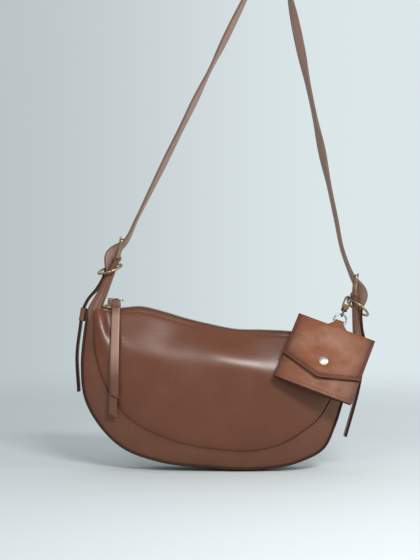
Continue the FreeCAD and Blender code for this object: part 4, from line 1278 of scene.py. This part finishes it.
# %% Flap
FLAP_TOP = POUCH_TOP - POUCH_LEATHER - 0.3
FLAP_FRONT = FLAP_N + POUCH_LEATHER
FOLD_END, FOLD_ROWS = FLAP_TOP + 1.6, 0.2
FLAP_FOLD = [(FLAP_TOP + 0.9, BACK_N + 0.1, 0), (FLAP_TOP + 0.25, BACK_N + 0.5, 0),
             (FLAP_TOP, BACK_N + 1.5, 0), (FLAP_TOP, FLAP_FRONT - 1.8, 0),
             (FLAP_TOP + 0.45, FLAP_FRONT - 0.5, 0), (FOLD_END, FLAP_FRONT, 0)]
FLAP_BOW, FREE_FROM, FREE_LONG, FREE_LIFT, RIGHT_LIFT = 0.5, 22, 46, 4.6, 0.8
SNAP_DOWN, SNAP_ROOM = 47, 9


def flap_end(across):
    """How far down the flap reaches: a point with a rounded tip."""
    slope = (FLAP_POINT - FLAP_SIDE) / POUCH_HALF
    return POUCH_TOP + FLAP_POINT + 1.2 - slope * math.sqrt(across ** 2 + FLAP_TIP ** 2)


def flap_face(across, down):
    """The flap's outer face, slightly bowed and lifted at its free edge."""
    share = (down - FLAP_TOP) / (FLAP_POINT + 2)
    free = max(down - FLAP_TOP - FREE_FROM, 0) / FREE_LONG
    aside = 1 - hump(across, 0, SNAP_ROOM) * hump(down, POUCH_TOP + SNAP_DOWN, SNAP_ROOM)
    bow = FLAP_BOW * math.sin(math.pi * min(share, 1)) * (1 - (across / POUCH_HALF) ** 2)
    right = RIGHT_LIFT * free * max(across / POUCH_HALF, 0)
    return FLAP_FRONT + (bow + FREE_LIFT * free ** 2) * aside + right


def flap_place(u, v):
    across = (2 * u - 1) * POUCH_HALF
    if v < FOLD_ROWS:
        fold = smooth_line(FLAP_FOLD, v / FOLD_ROWS)
        return on_pouch(across, fold.x, fold.y)
    down = FOLD_END + (flap_end(across) - FOLD_END) * (v - FOLD_ROWS) / (1 - FOLD_ROWS)
    return on_pouch(across, down, flap_face(across, down))


flap = skin("pouch_flap_hide", 80, 70, flap_place, OUT_OF_POUCH)
paint(flap, [pouch_leather, raw_edge])
dress(thicken(flap, POUCH_LEATHER - 0.1, 0.35), "flap", [], ["pouch_flap"])

# %% [markdown]
# ## Pouch tab
# A short tab is folded round the D ring's bar and sewn to the pouch's back. It could be cut from a plate
# and bent. It's quicker as the strap's ribbon: the same layered section, widened towards its root by a
# table of half widths.

# %% Pouch tab
BAR_DOWN, TAB_MIDDLE, TAB_LEATHER = 32.94, 1.86, 1.35
TAB_HALVES = [(30.0, 5.5), (34.3, 5.5), (POUCH_TOP - 5, 12.5), (60.0, 12.5)]
TAB_KNOTS = [(POUCH_TOP + 12, TAB_MIDDLE, 0), (POUCH_TOP, TAB_MIDDLE, 0), (BAR_DOWN + 3, TAB_MIDDLE, 0)]
for n in range(9):
    turn = math.pi * n / 6
    TAB_KNOTS.append((BAR_DOWN - TAB_MIDDLE * math.sin(turn), TAB_MIDDLE * math.cos(turn), 0))


def tab_half(down):
    """Half the tab's width, straight from one height of the table to the next."""
    for (a, first), (b, last) in zip(TAB_HALVES, TAB_HALVES[1:]):
        if a <= down <= b:
            return first + (last - first) * (down - a) / (b - a)
    return TAB_HALVES[0][1]


pouch_tab = ribbon("pouch_tab_strip", TAB_KNOTS, 2.0, TAB_LEATHER, 60,
                   lambda down, out, across: on_pouch(across * tab_half(down), down, out))
dress(pouch_tab, "pouch", [pouch_leather], ["pouch_tab"], 50)

# %% [markdown]
# ## Stitches
# A stitch is a short bar of thread whose ends sink into the leather. A dashed line in the material could
# stand for a row, but thread stands up and catches light. So one stitch is modelled and copied along the
# pouch's edges and the bag's rim.

# %% One stitch and its places
STITCH_LONG, STITCH_WIDE, STITCH_TALL, STITCH_GAP = 2.7, 1.2, 0.8, 3.7
STITCH_IN, STITCH_UP = 3.75, 0.05
deselect()
bpy.ops.mesh.primitive_uv_sphere_add(segments=10, ring_count=6, radius=0.5)
stitch = bpy.context.active_object
stitch.data.transform(Matrix.Diagonal((STITCH_LONG * MM, STITCH_WIDE * MM, STITCH_TALL * MM, 1)))


def along_line(points, face):
    """Stitch places along a polyline of flat points; face(point) gives the place and its normal."""
    places = []
    for a, b in zip(points, points[1:]):
        run = Vector(b) - Vector(a)
        count = max(round(run.length / STITCH_GAP), 1)
        for n in range(count):
            middle = Vector(a) + run * ((n + 0.5) / count)
            near, far = face(middle - run.normalized() * 0.5), face(middle + run.normalized() * 0.5)
            here, normal = face(middle)
            x_axis = (far[0] - near[0]).normalized()
            y_axis = normal.cross(x_axis).normalized()
            turn = Matrix((x_axis, y_axis, x_axis.cross(y_axis))).transposed().to_4x4()
            places.append(Matrix.Translation(here) @ turn)
    return places


print("one stitch:", len(stitch.data.polygons), "faces")

# %% Stitches of the pouch


def flap_stitch(point):
    return on_pouch(point.x, point.y, flap_face(point.x, point.y) + STITCH_UP), OUT_OF_POUCH


def pocket_stitch(point):
    share = (point.y - POUCH_TOP - POCKET_DROP) / (POUCH_TALL - POCKET_DROP)
    lift = bowed((point.x / POUCH_HALF + 1) / 2, share, POCKET_BOW)
    return on_pouch(point.x, point.y, POCKET_N + POUCH_LEATHER + lift + STITCH_UP), OUT_OF_POUCH


side_x = POUCH_HALF - STITCH_IN
flap_rows = [(-side_x, FLAP_TOP + 3), (-side_x, flap_end(side_x) - STITCH_IN)]
flap_rows += [(x, flap_end(x) - STITCH_IN) for x in (-30, -15, 0, 15, 30)]
flap_rows += [(-x, y) for x, y in flap_rows[1::-1]]
low_y = POUCH_LOW - STITCH_IN
pocket_rows = [(-side_x, POUCH_TOP + POCKET_DROP + 3), (-side_x, low_y), (side_x, low_y),
               (side_x, POUCH_TOP + POCKET_DROP + 3)]
dress(copied("pouch_flap_stitches", stitch, along_line(flap_rows, flap_stitch)),
      "flap", [dark_thread])
dress(copied("pouch_pocket_stitches", stitch, along_line(pocket_rows, pocket_stitch)),
      "pouch", [brown_thread])

# %% Stitches of the bag's rim
RIM_ROW = [(8.0, 0), (300.0, 0)]


def rim_stitch(side):
    """Places in the groove below the zip, on one side of the bag."""
    def face(point):
        u = (point.x + LEFT_LAP) / (ZIP + LEFT_LAP + RIGHT_LAP)
        share = STITCH_DROP / (edge_at(u) - top_at(u)).length
        here = body_point(u, share, side, STITCH_GROOVE)
        down = body_point(u, share + 0.01, side, STITCH_GROOVE) - here
        along = body_point(min(u + 0.004, 1), share, side, STITCH_GROOVE) - here
        return here, along.cross(down).normalized() * -side
    return face


for name, side in (("front_rim_stitches", -1), ("back_rim_stitches", 1)):
    dress(copied(name, stitch, along_line(RIM_ROW, rim_stitch(side))), "bag", [brown_thread])
bpy.data.objects.remove(stitch)

# %% [markdown]
# ## Metal finishes
# Rings, buckles, clasp, slider and snap keep the shape that the frame gives them. They could be modelled
# again too, but metal is as true as its drawing, and only the frame's own pieces fit their joints. So
# they get a finish alone: nickel for the D ring and the snap, worn gold for the clasp and pale gold for
# the rest.

# %% Metal finishes
FINISHES = {"pouch_d_ring": nickel, "snap_cap": bright_cap, "snap_socket": nickel, "snap_stud": nickel}
for name, node in nodes.items():
    if node.hide_render:
        continue
    node.data.materials.clear()
    finish = FINISHES.get(name, worn_gold if name.startswith("clasp") else pale_gold)
    node.data.materials.append(finish)
    print(name, node.data.materials[0].name)
